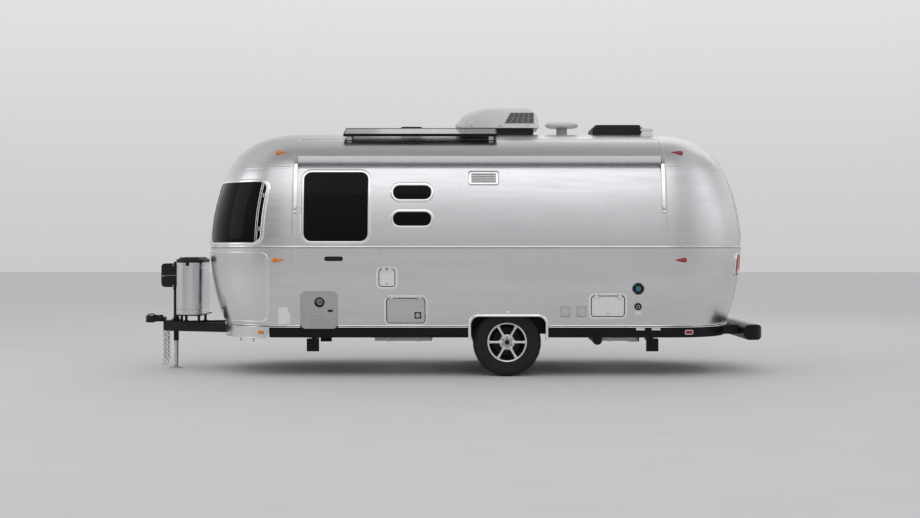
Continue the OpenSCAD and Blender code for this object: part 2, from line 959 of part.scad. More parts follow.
module lid_hinge(p) {
  for (x = lid_stations(p)) {
    bar_x_at(p, x - lid_leaf - leaf_gap, lid_knuckle + 2 * (lid_leaf + leaf_gap), lid_pin_r);
    for (u = [x - lid_leaf - leaf_gap, x + lid_knuckle + leaf_gap]) {
      bar_x_at(p, u, lid_leaf, lid_r);
      on_wall() translate([u, inner_y, lid_z(p) + door_gap / 2])
        cube([lid_leaf, lid_y(p) + lid_r - inner_y, lid_leaf_h - door_gap / 2]);
    }
  }
}

module access_hatch() {
  color("gainsboro") lid(ACCESS);
}

module service_hatch() {
  color("white") lid(SERVICE);
}

module fill_door() {
  color("white") lid(FILL);
}

module hinges() {
  color("gainsboro") {
    for (p = HATCHES) lid_hinge(p);
    mirror([0, 1, 0]) for (z = hinge_z) door_hinge(z);
  }
}

// Step that folds out under the door, on two plates under the floor
step_in = 100;
step_x0 = door_x + step_in;
step_x1 = door_x + door_w - step_in;
step_y = half_w - 220;
step_z = 340;
step_pin_r = 9;
step_plate = 8;
step_plate_w = 80;
step_drop = 20;
step_arm = 12;
step_arm_h = 24;
step_boss_r = 20;
step_gap = 2;
step_reach = 280;
tread_w = 200;
tread_t = 24;
module step_bracket() {
  color("#2b2b2b") for (x = [step_x0 - step_plate, step_x1]) {
    translate([x, -step_y - step_plate_w / 2, step_z - step_drop])
      cube([step_plate, step_plate_w, floor_z - step_z + step_drop]);
    translate([x == step_x1 ? x - step_arm - 2 * step_gap : x, -step_y, step_z]) rotate([0, 90, 0])
      cylinder(h = step_plate + step_arm + 2 * step_gap, r = step_pin_r);
  }
}

module entry_step() {
  arm_x0 = step_x0 + step_gap;
  arm_x1 = step_x1 - step_gap - step_arm;
  color("#3a3a3a") {
    for (x = [arm_x0, arm_x1]) difference() {
      union() {
        translate([x, -step_y, step_z]) rotate([0, 90, 0]) cylinder(h = step_arm, r = step_boss_r);
        translate([x, -step_y, step_z - step_arm_h / 2]) cube([step_arm, step_reach, step_arm_h]);
      }
      translate([x - 1, -step_y, step_z]) rotate([0, 90, 0]) cylinder(h = step_arm + 2, r = step_pin_r + fit);
    }
    translate([arm_x0 + step_arm, -step_y + step_reach - tread_w, step_z - tread_t / 2])
      cube([arm_x1 - arm_x0 - step_arm, tread_w, tread_t]);
  }
}

// Heater cover with a round flue, a turn-latch slot and two columns of slits
heater_w = 384;
HEATER = [mid_at(0.9323, heater_w), 494, heater_w, 383, 56];
heater_out = 12;
flue_r = 48;
flue_x = HEATER[PX] + 185;
flue_z = HEATER[PZ] + 272;
SLOT = [HEATER[PX] + 48, HEATER[PZ] + 172, 54, 24, 8];
SLIT_X = [HEATER[PX] + 88, HEATER[PX] + 192];
slit_z = HEATER[PZ] + 54;
slit_w = 84;
slit_h = 10;
slit_r = 4;
slit_rows = 4;
slit_pitch = 26;
module heater_cover() {
  color("darkgray") difference() {
    intersection() {
      along_x(HEATER[PX], HEATER[PX] + HEATER[PW])
        arc_band(SIDE[0], 2 * sill_t, 0, -heater_out, 0);
      through(HEATER);
    }
    box(0, front_x, 0, skirt_y1, 0, wall_z);
    along_y(half_w / 2, body_w) {
      translate([flue_x, flue_z]) circle(flue_r);
      for (x = SLIT_X, i = [0:slit_rows - 1]) pane(x, slit_z + slit_pitch * i, slit_w, slit_h, slit_r);
      sheet(SLOT);
    }
  }
}

// Vent of the kitchen extractor on the upper wall
vent_w = 293;
VENT = [mid_at(0.4888, vent_w), 1974, vent_w, 127, 16];
vent_slats = 5;
vent_out = 18;
slat_in = 20;
slat_z = 16;
slat_pitch = 20;
slat_h = 12;
slat_r = 4;
module range_vent() {
  color("gainsboro") difference() {
    intersection() {
      along_x(VENT[PX], VENT[PX] + VENT[PW]) upper_band(-vent_out, 0);
      through(VENT);
    }
    intersection() {
      along_x(VENT[PX], VENT[PX] + VENT[PW]) upper_band(-2 * vent_out, -vent_out / 2);
      along_y(half_w / 2, body_w) for (i = [0:vent_slats - 1])
        pane(VENT[PX] + slat_in, VENT[PZ] + slat_z + slat_pitch * i, VENT[PW] - 2 * slat_in, slat_h, slat_r);
    }
  }
}

// Ports on the lower wall: columns are place along, height, radius
port_x = along(0.0735);
PORTS = [[port_x, 903, 60], [port_x, 720, 37]];
outlet_w = 97;
OUTLETS = [for (s = [0.2686, 0.2251]) [mid_at(s, outlet_w), 613, outlet_w, 115, 12]];
port_out = 14;
module service_ports() {
  color("#3a3a3a") intersection() {
    along_x(rear_x, front_x) lower_band(-port_out, 0);
    along_y(half_w / 2, body_w) {
      for (p = PORTS) translate([p[0], p[1]]) circle(p[2]);
      for (p = OUTLETS) sheet(p);
    }
  }
}

// Side awnings: a roller between end brackets at the shoulder; the street side one has arms
roller_r = 40;
roller_gap = 15;
street_turn = 31;
kerb_turn = 62;
arm_w = 36;
arm_d = 16;
arm_foot = 1680;
arm_off = 20;
foot_h = 72;
bracket_w = 40;
bracket_r = roller_r + 4;
function roller_at(turn) = turn_pt(turn, -roller_r - roller_gap);

// End bracket in section, from the skin to the roller
module bracket(turn) {
  translate(roller_at(turn)) {
    circle(bracket_r);
    rotate(turn) translate([-2 * roller_r, -bracket_w / 2]) square([2 * roller_r, bracket_w]);
  }
}

// Arm in section, from its foot on the wall up to the roller
module awning_arm(turn) {
  foot = [reach(SIDE, arm_foot) + arm_off, arm_foot];
  rise = roller_at(turn) - foot;
  translate(foot) rotate(atan2(rise[1], rise[0])) translate([0, -arm_d / 2]) square([norm(rise), arm_d]);
  translate([inner_y, arm_foot]) square([foot[0] - inner_y, foot_h]);
}

module awning(turn, arms) {
  at = roller_at(turn);
  for (x = [rear_x, front_x - arm_w]) along_x(x, x + arm_w) difference() {
    union() {
      bracket(turn);
      if (arms) awning_arm(turn);
    }
    lower_band(0, deep);
    upper_band(0, deep);
  }
  translate([rear_x + arm_w / 2, at[0], at[1]]) rotate([0, 90, 0])
    cylinder(h = mid_l - arm_w, r = roller_r);
}

module awnings() {
  color("gainsboro") {
    awning(street_turn, true);
    mirror([0, 1, 0]) awning(kerb_turn, false);
  }
}

// Rear bumper, rounded along its upper and lower edges and at its ends
bumper_l = 210;
bumper_x0 = rail_x0 - bumper_l;
bumper_y = half_w - 280;
bumper_z = 364;
bumper_h = 157;
bumper_edge = 60;
bumper_end = 150;
module rear_bumper() {
  color("#3a3a3a") intersection() {
    along_y(-bumper_y, bumper_y) pane(bumper_x0, bumper_z, bumper_l, bumper_h, bumper_edge);
    translate([0, 0, bumper_z]) linear_extrude(bumper_h)
      pane(bumper_x0, -bumper_y, 2 * bumper_l + bumper_end, 2 * bumper_y, bumper_end);
  }
}

// Tanks between the rails and the drain of the rear one
tank_y = rail_y - 60;
tank_h = 180;
tank_x1 = along(0.1573);
TANKS = [[along(0.053), tank_x1], [along(0.6307), along(0.7914)]];
module holding_tanks() {
  color("white") for (t = TANKS) box(t[0], t[1], -tank_y, tank_y, floor_z - tank_h, floor_z);
}

drain_r = 40;
drain_y = 400;
drain_z = 368;
drain_off = 80;
drain_l = 570;
stub_y = 50;
stub_r = drain_r - 6;
drain_cap_r = drain_r + 10;
drain_cap_l = 40;
module drain_pipe() {
  color("#222222") translate([tank_x1, drain_y, drain_z]) {
    translate([seam, stub_y, 0]) rotate([0, 90, 0]) cylinder(h = drain_off - seam, r = stub_r);
    translate([drain_off, 0, 0]) rotate([-90, 0, 0]) cylinder(h = drain_l, r = drain_r);
    translate([drain_off, drain_l, 0]) rotate([-90, 0, 0]) cylinder(h = drain_cap_l, r = drain_cap_r);
  }
}

// Corner stabilisers, folded up under the rails: pad, leg and foot
STAB_X = [along(0.005), along(0.9428)];
pad_w = 120;
pad_t = 40;
stab_leg = 40;
stab_in = 300;
stab_out = 160;
stab_foot = 130;
stab_foot_t = 8;
stab_foot_h = 135;
module stabilizers() {
  color("#2b2b2b") both_sides() for (x = STAB_X) translate([x, rail_y, rail_z - pad_t]) {
    translate([0, -pad_w / 2, 0]) cube([pad_w, pad_w, pad_t]);
    translate([stab_leg, -stab_in, -stab_leg]) cube([stab_leg, stab_in + stab_out, stab_leg]);
    translate([(pad_w - stab_foot) / 2, stab_out, -stab_foot_h]) cube([stab_foot, stab_foot_t, stab_foot_h]);
  }
}

// Teardrop marker lamps on the ends, blunt end outward
drop_l = 140;
drop_r = 30;
lamp_out = 24;
lamp_turn = 44.4;
lamp_rows = [35, 40, 45, 50];
LAMP_Z = [belt_z - 143, turn_z(lamp_turn)];
module drop(x, z, way) {
  translate([x, z]) {
    translate([way * (drop_l / 2 - drop_r), 0]) circle(drop_r);
    polygon([
      [way * (drop_l / 2 - drop_r), drop_r],
      [-way * drop_l / 2, 0],
      [way * (drop_l / 2 - drop_r), -drop_r]
    ]);
  }
}

module lamps(e, x) {
  intersection() {
    cap_lower(e, -lamp_out, 0, 3);
    along_y(-body_w, body_w) drop(x, LAMP_Z[0], e[1]);
  }
  intersection() {
    cap_upper(e, -lamp_out, 0, lamp_rows);
    along_y(-body_w, body_w) drop(x, LAMP_Z[1], e[1]);
  }
}

lamp_x = 152;
module amber_lamps() {
  color("orange") lamps(FRONT, front_x + lamp_x);
}

// Red marker lamps, and the tail lamps: upright ovals on the rear corners
tail_lamp_w = 140;
tail_lamp_y = 0.623 * half_w - tail_lamp_w / 2;
tail_lamp_h = 247;
TAIL_LAMP = [tail_lamp_y, belt_z - 320, tail_lamp_w, tail_lamp_h, 68];
module red_lamps() {
  color("red") {
    lamps(REAR, rear_x - lamp_x);
    intersection() {
      cap_lower(REAR, -lamp_out, 0, 2);
      both_sides() along_x(rear_x - tail_d, rear_x - tail_d / 2) sheet(TAIL_LAMP);
    }
  }
}

// Roof unit of the air conditioner: its side profile drawn across, rounded in plan,
// with a recess for a grille on each side
ac_x0 = along(0.3261);
ac_x1 = along(0.5659);
ac_y = 330;
ac_base = crown_z + 60;
ac_h = 216;
ac_top = ac_base + ac_h;
ac_r = 90;
ac_lean = 10;
ac_rear = 90;
ac_flat = 330;
ac_brow = 110;
ac_slope = 60;
ac_lip = 30;
ac_foot = 20;
grille_x = 60;
grille_l = 310;
grille_lean = 60;
grille_z = 50;
grille_h = 110;
grille_in = 12;
module grille() {
  polygon([
    [ac_x0 + grille_x, ac_base + grille_z],
    [ac_x0 + grille_x + grille_l, ac_base + grille_z],
    [ac_x0 + grille_x + grille_l - grille_lean, ac_base + grille_z + grille_h],
    [ac_x0 + grille_x, ac_base + grille_z + grille_h]
  ]);
}

module air_conditioner() {
  color("white") difference() {
    intersection() {
      along_y(-ac_y, ac_y) polygon([
        [ac_x0, ac_base],
        [ac_x0 + ac_lean, ac_top - ac_rear],
        [ac_x0 + ac_rear, ac_top],
        [ac_x1 - ac_flat, ac_top],
        [ac_x1 - ac_brow, ac_top - ac_slope],
        [ac_x1, ac_base + ac_lip],
        [ac_x1 - ac_foot, ac_base]
      ]);
      linear_extrude(ac_top) pane(ac_x0, -ac_y, ac_x1 - ac_x0, 2 * ac_y, ac_r);
    }
    both_sides() along_y(ac_y - grille_in, 2 * ac_y) grille();
  }
}

pan_in = 60;
module ac_base_pan() {
  color("#222222") on_roof()
    box(ac_x0 + pan_in, ac_x1 - pan_in, pan_in - ac_y, ac_y - pan_in, crown_z - deep / 4, ac_base);
}

// Solar panel that follows the slope of the roof, on four feet
solar_x0 = along(0.4502);
solar_x1 = along(0.8743);
solar_w = 440;
solar_t = 30;
solar_turn = 77.5;
solar_off = 40;
solar_foot = 50;
solar_foot_in = 60;
module solar_place() {
  at = turn_pt(solar_turn, -solar_off);
  translate([0, at[0], at[1]]) rotate([solar_turn - 90, 0, 0]) children();
}

module solar_panel() {
  color("#1b2440") {
    solar_place() box(solar_x0, solar_x1, -solar_w / 2, solar_w / 2, 0, solar_t);
    on_roof() solar_place() for (x = [solar_x0 + solar_foot_in, solar_x1 - solar_foot_in], y = [-1, 1])
      translate([x, y * (solar_w / 2 - solar_foot_in), -3 * solar_off])
        linear_extrude(3 * solar_off) square(solar_foot, center = true);
  }
}

// Roof vents: columns are rear end, length, half width, rise above the crown
VX = 0;
VL = 1;
VY = 2;
VH = 3;
VENTS = [[along(0.6531), 0.0759 * mid_l, 200, 85], [along(0.0274), 0.1454 * mid_l, 300, 96]];
vent_step = 30;
vent_in = 25;
vent_r = 50;
vent_foot = 120;
module roof_vents() {
  color("#222222") on_roof() for (v = VENTS) translate([0, 0, crown_z - vent_foot]) {
    linear_extrude(v[VH] - vent_step + vent_foot) pane(v[VX], -v[VY], v[VL], 2 * v[VY], vent_r);
    linear_extrude(v[VH] + vent_foot)
      pane(v[VX] + vent_in, vent_in - v[VY], v[VL] - 2 * vent_in, 2 * (v[VY] - vent_in), vent_r);
  }
}

// Saucer antenna on its post, and the white cap of the plumbing vent
dish_x = along(0.2558);
dish_r = 182;
dish_up = 80;
dish_z = crown_z + dish_up;
dish_h = 65;
dish_edge = 30;
post_dish_r = 60;
sunk = 100;
stack_x = along(0.0221);
stack_y = 400;
stack_r = 70;
stack_h = 50;
module antenna() {
  color("white") {
    on_roof() translate([dish_x, 0, crown_z - sunk]) cylinder(h = dish_z - crown_z + sunk, r = post_dish_r);
    translate([dish_x, 0, dish_z]) rotate_extrude() polygon([
      [0, 0],
      [dish_r - dish_edge, 0],
      [dish_r, dish_h / 3],
      [dish_r, 2 * dish_h / 3],
      [dish_r - dish_edge, dish_h],
      [0, dish_h]
    ]);
    on_roof() translate([stack_x, stack_y, crown_z - sunk]) cylinder(h = sunk + stack_h, r = stack_r);
  }
}

// Sub-part to draw

frame_rails();
cross_members();
drawbar();
gas_tray();
coupler();
safety_chains();
jack_tube();
jack_leg();
gas_cover();
gas_cover_lid();
floor_panel();
wheel_wells();
skirt();
front_guards();
wheel_arches();
lower_wall_left();
lower_wall_right();
upper_wall_left();
upper_wall_right();
roof();
front_cap_upper();
front_cap_lower();
rear_cap_upper();
rear_cap_lower();
end_windows();
end_frames();
side_windows();
side_frames();
axle();
tyre_left();
rim_left();
drum_left();
tyre_right();
rim_right();
drum_right();
door_panel();
hinges();
door_window();
door_window_frame();
door_handle();
step_bracket();
entry_step();
access_hatch();
service_hatch();
fill_door();
heater_cover();
range_vent();
service_ports();
awnings();
rear_bumper();
holding_tanks();
drain_pipe();
stabilizers();
amber_lamps();
red_lamps();
air_conditioner();
ac_base_pan();
solar_panel();
roof_vents();
antenna();
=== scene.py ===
import json
from math import sin, cos, asin, acos, sqrt, pi, radians, degrees, hypot

import bmesh
import bpy
from mathutils import Matrix, Vector


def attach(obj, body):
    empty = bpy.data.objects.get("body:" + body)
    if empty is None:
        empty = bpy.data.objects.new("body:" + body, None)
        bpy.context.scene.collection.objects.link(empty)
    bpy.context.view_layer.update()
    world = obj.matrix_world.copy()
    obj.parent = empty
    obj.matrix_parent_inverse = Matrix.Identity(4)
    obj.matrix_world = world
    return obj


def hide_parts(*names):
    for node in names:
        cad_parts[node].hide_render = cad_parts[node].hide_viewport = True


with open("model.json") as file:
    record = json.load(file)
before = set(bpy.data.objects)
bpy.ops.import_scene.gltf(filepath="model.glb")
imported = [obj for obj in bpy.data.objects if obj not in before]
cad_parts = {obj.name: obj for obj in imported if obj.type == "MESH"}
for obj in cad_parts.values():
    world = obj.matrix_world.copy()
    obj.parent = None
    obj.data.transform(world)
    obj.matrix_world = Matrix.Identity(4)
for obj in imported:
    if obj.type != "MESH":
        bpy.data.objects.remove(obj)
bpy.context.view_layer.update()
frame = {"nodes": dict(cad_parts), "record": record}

MM = 0.001

# ---- body profile, the same arcs as in the part's source (millimetres) ----
HALF_W = 1220
BELT = 1340
WALL_Z = 530
WALL_T = 45
FRONT_X = 1547
REAR_X = -2249
CROWN = BELT + HALF_W
PLAN_P = 2.5
SHOULDER_R, CAP_R = 600, 684
WALL_A, CAP_A = 15, 25
SILL_IN, TUCK_IN = 70, 165
NOSE_D, TAIL_D = 1003, 948
MID_L = FRONT_X - REAR_X
FLOOR_Z = 510


def arcs(deep, r, turn, inset):
    """Four tangent arcs (centre, radius, end angle) of a wall or an end, from its lower edge to the crown."""
    a, b = radians(turn), radians(90 - turn)
    p = deep - r * (cos(a) - cos(b))
    q = HALF_W - r * (sin(b) - sin(a))
    det = (1 - cos(a)) * (1 - sin(b)) - cos(b) * sin(a)
    r1 = (p * (1 - sin(b)) - q * cos(b)) / det
    r3 = ((1 - cos(a)) * q - sin(a) * p) / det
    c1 = (deep - r1, BELT)
    c2 = (c1[0] + (r1 - r) * cos(a), c1[1] + (r1 - r) * sin(a))
    c3 = (c2[0] + (r - r3) * cos(b), c2[1] + (r - r3) * sin(b))
    low = ((BELT - WALL_Z) ** 2 + inset**2) / (2 * inset)
    return [(deep - low, BELT, low, 0.0), (*c1, r1, a), (*c2, r, b), (*c3, r3, pi / 2)]


SIDE = arcs(HALF_W, SHOULDER_R, WALL_A, SILL_IN)
NOSE = arcs(NOSE_D, CAP_R, CAP_A, TUCK_IN)
TAIL = arcs(TAIL_D, CAP_R, CAP_A, TUCK_IN)
FRONT = (FRONT_X, 1, NOSE)
REAR = (REAR_X, -1, TAIL)


def arc_at(prof, z, w):
    for a in prof[1:3]:
        if z <= BELT:
            return prof[0]
        if z <= a[1] + (a[2] - w) * sin(a[3]):
            return a
    return prof[3]


def reach(prof, z, w=0.0):
    """Distance of a profile from the middle at height z, w inside the skin."""
    a = arc_at(prof, z, w)
    return a[0] + sqrt(max(0.0, (a[2] - w) ** 2 - (z - a[1]) ** 2))


def slope(prof, z, w=0.0):
    a = arc_at(prof, z, w)
    run = sqrt(max(1e-6, (a[2] - w) ** 2 - (z - a[1]) ** 2))
    return -(z - a[1]) / run


def turn_pt(turn, w=0.0):
    """Point (y, z) of the side profile where its normal is turned up by an angle."""
    t = radians(turn)
    a = SIDE[1] if turn <= WALL_A else SIDE[2] if turn <= 90 - WALL_A else SIDE[3]
    return a[0] + (a[2] - w) * cos(t), a[1] + (a[2] - w) * sin(t)


def spow(v, p):
    return (1 if v >= 0 else -1) * abs(v) ** p


def cap_pt(end, z, f, w=0.0):
    """Point of an end at height z and plan angle f (-90 to 90), w inside the skin."""
    return Vector((
        end[0] + end[1] * reach(end[2], z, w) * spow(cos(radians(f)), 2 / PLAN_P),
        end[1] * reach(SIDE, z, w) * spow(sin(radians(f)), 2 / PLAN_P),
        z,
    ))


def skin_normal(p):
    """Outward normal of the body at a point on its skin."""
    x, y, z = p
    for end in (FRONT, REAR):
        d = (x - end[0]) * end[1]
        if d > 0:
            a, b = max(reach(end[2], z), 1.0), max(reach(SIDE, z), 1.0)
            u, v = d / a, abs(y) / b
            k = PLAN_P
            n = Vector((
                end[1] * u ** (k - 1) / a,
                (1 if y >= 0 else -1) * v ** (k - 1) / b,
                -(u**k / a * slope(end[2], z) + v**k / b * slope(SIDE, z)),
            ))
            return n.normalized()
    s = slope(SIDE, z)
    return Vector((0, 1 if y >= 0 else -1, -s)).normalized()


def on_side(q, way):
    """The point on the street side (1), or its mirror on the kerb side (-1)."""
    return Vector((q.x, abs(q.y) * way, q.z))


SIDES = ((1, "street"), (-1, "kerb"))


# ---- places on the skin: at(u, z, w) gives a point w inside the skin ----
class SideSkin:
    def __init__(self, way=1):
        self.way = way

    def at(self, u, z, w=0.0):
        return Vector((u, self.way * reach(SIDE, z, w), z))


class EndSkin:
    def __init__(self, end):
        self.end = end

    def at(self, u, z, w=0.0):
        e = self.end
        a, b = reach(e[2], z, w), reach(SIDE, z, w)
        return Vector((e[0] + e[1] * a * max(0.0, 1 - abs(u / b) ** PLAN_P) ** (1 / PLAN_P), u, z))


CORNER_FROM, CORNER_TO = (0.302 * NOSE_D, 0.9566 * HALF_W), (0.8903 * NOSE_D, 0.4508 * HALF_W)


class CornerSkin:
    """Front corner seen square on; u runs along the corner's chord."""

    def __init__(self, way=1):
        self.way = way
        a, b = Vector(CORNER_FROM), Vector(CORNER_TO)
        self.mid = (a + b) / 2
        t = (b - a).normalized()
        self.out = Vector((-t.y, t.x))
        self.along = Vector((self.out.y, -self.out.x)) * -1

    def at(self, u, z, w=0.0):
        a, b = reach(NOSE, z, w), reach(SIDE, z, w)
        foot = self.mid + self.along * u
        lo, hi = -250.0, 450.0
        for _ in range(44):
            m = (lo + hi) / 2
            q = foot + self.out * m
            if (max(q.x, 0) / a) ** PLAN_P + (abs(q.y) / b) ** PLAN_P < 1:
                lo = m
            else:
                hi = m
        q = foot + self.out * lo
        return Vector((FRONT_X + q.x, self.way * q.y, z))


LEFT, RIGHT = SideSkin(1), SideSkin(-1)
NOSE_SKIN, TAIL_SKIN = EndSkin(FRONT), EndSkin(REAR)
CORNERS = (CornerSkin(1), CornerSkin(-1))


# ---- mesh helpers ----
class Kit:
    """Collects shapes of one piece, in millimetres."""

    def __init__(self):
        self.v, self.f = [], []

    def add(self, verts, faces, place=None):
        n = len(self.v)
        for p in verts:
            p = Vector(p)
            self.v.append(place @ p if place else p)
        self.f += [[i + n for i in f] for f in faces]
        return self


def mesh_object(name, kit):
    me = bpy.data.meshes.new(name)
    me.from_pydata([tuple(c * MM for c in p) for p in kit.v], [], kit.f)
    me.validate()
    bm = bmesh.new()
    bm.from_mesh(me)
    bmesh.ops.recalc_face_normals(bm, faces=bm.faces)
    bm.to_mesh(me)
    bm.free()
    ob = bpy.data.objects.new(name, me)
    bpy.context.collection.objects.link(ob)
    return ob


def shade(me, angle):
    me.shade_smooth()
    me.set_sharp_from_angle(angle=radians(angle))


def dress(ob, body, slot, node=None):
    """Puts a piece on its body and hides the CAD node that it stands for; the slot is not used."""
    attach(ob, body)
    if node:
        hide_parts(node)


def piece(name, kit, mat, body="caravan", slot=None, smooth=32, bevel=0.0, node=None):
    """Makes a kit into a piece; the slot is not used."""
    ob = mesh_object(name, kit)
    shade(ob.data, smooth)
    ob.data.materials.append(M[mat])
    if bevel:
        add_bevel(ob, bevel)
    dress(ob, body, slot or mat, node)


def add_bevel(ob, width):
    m = ob.modifiers.new("edges", "BEVEL")
    m.width = width * MM
    m.segments = 2
    m.limit_method = "ANGLE"
    m.angle_limit = radians(38)
    m.harden_normals = True
    m.use_clamp_overlap = True


def skin_normals(me):
    """Gives the faces on the outer skin the exact normals of the body."""
    out = []
    for poly in me.polygons:
        for li in poly.loop_indices:
            p = me.vertices[me.loops[li].vertex_index].co / MM
            n = skin_normal(p)
            out.append(n if n.dot(poly.normal) > 0.8 else Vector((0, 0, 0)))
    me.normals_split_custom_set(out)


def quads(n, k, ring=False, loop=True, turned=False):
    """Faces over n rows of k points; ring joins the last row to the first, loop closes each row."""
    f = []
    for i in range(n if ring else n - 1):
        j = (i + 1) % n
        for q in range(k if loop else k - 1):
            t = (q + 1) % k
            a, b, c, d = i * k + q, i * k + t, j * k + t, j * k + q
            f.append((a, d, c, b) if turned else (a, b, c, d))
    return f


def caps(n, k, turned=False):
    """End faces of n rows of k points."""
    first, last = list(range(k)), [(n - 1) * k + q for q in range(k)]
    return [first, last[::-1]] if turned else [first[::-1], last]


def grid_shell(rows_out, rows_in, crown=False):
    """Closed shell between two grids of points with the same counts."""
    n, k = len(rows_out), len(rows_out[0])
    v = [p for r in rows_out for p in r] + [p for r in rows_in for p in r]
    s = n * k
    f = []
    for r in range(n - 1):
        for i in range(k - 1):
            a, b, c, d = r * k + i, r * k + i + 1, (r + 1) * k + i + 1, (r + 1) * k + i
            f += [(a, b, c, d), (s + a, s + d, s + c, s + b)]
        a, b = r * k, r * k + k - 1
        f += [(s + a, a, a + k, s + a + k), (b, s + b, s + b + k, b + k)]
    t = (n - 1) * k
    for i in range(k - 1):
        f.append((i + 1, i, s + i, s + i + 1))
        if not crown:
            f.append((t + i, t + i + 1, s + t + i + 1, s + t + i))
    if crown:
        f.append([t + i for i in range(k)])
        f.append([s + t + i for i in range(k - 1, -1, -1)])
        f.append((t, t + k - 1, s + t + k - 1, s + t))
    return Kit().add(v, f)


def outline(x, z, w, h, r, n=10):
    """Rectangle with round corners, n steps to a corner."""
    pts = []
    corners = ((x + w - r, z + r, -90), (x + w - r, z + h - r, 0), (x + r, z + h - r, 90), (x + r, z + r, 180))
    for cx, cz, a0 in corners:
        turns = [radians(a0 + 90 * i / n) for i in range(n + 1)]
        pts += [(cx + r * cos(a), cz + r * sin(a)) for a in turns]
    return pts


def pane(p, grow=0.0, n=10):
    x, z, w, h, r = p[:5]
    return outline(x - grow, z - grow, w + 2 * grow, h + 2 * grow, r + grow, n)


def prism(pts, fn, a, b):
    """Closed prism of an outline; fn(u, v, t) places a point."""
    n = len(pts)
    v = [fn(u, w, a) for u, w in pts] + [fn(u, w, b) for u, w in pts]
    f = [list(range(n - 1, -1, -1)), list(range(n, 2 * n))]
    f += [(i, (i + 1) % n, n + (i + 1) % n, n + i) for i in range(n)]
    return v, f


def pad(kit, place, w, h, r, z0, z1, n=6):
    """Plate with round corners in a place's own X and Y."""
    kit.add(*prism(outline(-w / 2, -h / 2, w, h, r, n), lambda a, b, t: Vector((a, b, t)), z0, z1), place)


def cut_out(ob, tools):
    """Takes closed shapes out of an object's mesh."""
    kit = Kit()
    for v, f in tools:
        kit.add(v, f)
    tool = mesh_object("tool", kit)
    m = ob.modifiers.new("cut", "BOOLEAN")
    m.operation = "DIFFERENCE"
    m.solver = "EXACT"
    m.object = tool
    dg = bpy.context.evaluated_depsgraph_get()
    old, ob.data = ob.data, bpy.data.meshes.new_from_object(ob.evaluated_get(dg))
    ob.modifiers.clear()
    bpy.data.meshes.remove(old)
    bpy.data.objects.remove(tool)


def shell_piece(name, kit, node, tools=(), body="caravan"):
    """Sheet of the shell with its openings cut, in place of a CAD node."""
    ob = mesh_object(name, kit)
    if tools:
        cut_out(ob, tools)
    ob.data.materials.clear()
    ob.data.materials.append(M["shell"])
    shade(ob.data, 30)
    skin_normals(ob.data)
    dress(ob, body, "shell", node)


def ring_sweep(path, prof, closed=True):
    """Sweeps a section: each station of the path is a function that places a point of the section."""
    n, k = len(path), len(prof)
    v = [station(d, h) for station in path for d, h in prof]
    return v, quads(n, k, closed) + ([] if closed else caps(n, k))


def frame_ring(kit, skin, pts, prof, pitch=30):
    """Frame of a given section (distance outward, height off the skin) along an outline on the skin."""
    n = len(pts)
    norms = []
    for i in range(n):
        (x0, z0), (x1, z1) = pts[i - 1], pts[(i + 1) % n]
        l = hypot(x1 - x0, z1 - z0) or 1.0
        norms.append(((z1 - z0) / l, -(x1 - x0) / l))
    path = []
    for i in range(n):
        (u0, z0), (u1, z1) = pts[i], pts[(i + 1) % n]
        (a0, b0), (a1, b1) = norms[i], norms[(i + 1) % n]
        k = max(1, round(hypot(u1 - u0, z1 - z0) / pitch))
        for j in range(k):
            t = j / k
            u, z = u0 + (u1 - u0) * t, z0 + (z1 - z0) * t
            nx, nz = a0 + (a1 - a0) * t, b0 + (b1 - b0) * t
            path.append(lambda d, h, u=u, z=z, nx=nx, nz=nz: skin.at(u + nx * d, z + nz * d, -h))
    return kit.add(*ring_sweep(path, prof))


def rounded_rows(p, nz, nx, steps):
    """Rows of (u, z) points that fill a rectangle with round corners."""
    x, z, w, h, r = p
    levels = [z + r * (1 - cos(radians(90 * i / steps))) for i in range(steps + 1)]
    levels += [z + r + (h - 2 * r) * i / nz for i in range(1, nz)] + [2 * z + h - q for q in reversed(levels)]
    rows = []
    for q in levels:
        d = r - min(q - z, z + h - q, r)
        half = w / 2 - r + sqrt(max(0.0, r * r - d * d))
        rows.append([(x + w / 2 + half * (2 * i / nx - 1), q) for i in range(nx + 1)])
    return rows


def skin_plate(kit, skin, p, top, foot, edge=2.0, nz=8, nx=8, grow=0.0):
    """Plate that follows the skin: its face `top` above the skin, its rim down to `foot`."""
    x, z, w, h, r = p[0] - grow, p[1] - grow, p[2] + 2 * grow, p[3] + 2 * grow, p[4] + grow
    rows = rounded_rows((x, z, w, h, r), nz, nx, 6)
    n, k = len(rows), nx + 1
    inner = [(u + (x + w / 2 - u) * 2 * edge / w, q + (z + h / 2 - q) * 2 * edge / h) for row in rows for u, q in row]
    v = [skin.at(u, q, -top) for u, q in inner]
    f = quads(n, k, loop=False)
    loop = list(range(k)) + [a * k + nx for a in range(1, n)]
    loop += [(n - 1) * k + b for b in range(nx - 1, -1, -1)] + [a * k for a in range(n - 2, 0, -1)]
    flat = [q for row in rows for q in row]
    m = len(loop)
    s = len(v)
    v += [skin.at(*flat[i], -(top - edge)) for i in loop]
    v += [skin.at(*flat[i], -foot) for i in loop]
    for i in range(m):
        j = (i + 1) % m
        f.append((loop[i], s + i, s + j, loop[j]))
        f.append((s + i, s + m + i, s + m + j, s + j))
    f.append([s + m + i for i in range(m)])
    if getattr(skin, "way", 1) < 0:
        f = [list(reversed(q)) for q in f]
    return kit.add(v, f)


def lathe(kit, prof, place, n=32, loop=False):
    """Turns (radius, height) points about local Z; loop closes the section on itself."""
    v = [(r * cos(2 * pi * i / n), r * sin(2 * pi * i / n), h) for i in range(n) for r, h in prof]
    return kit.add(v, quads(n, len(prof), True, loop, True), place)


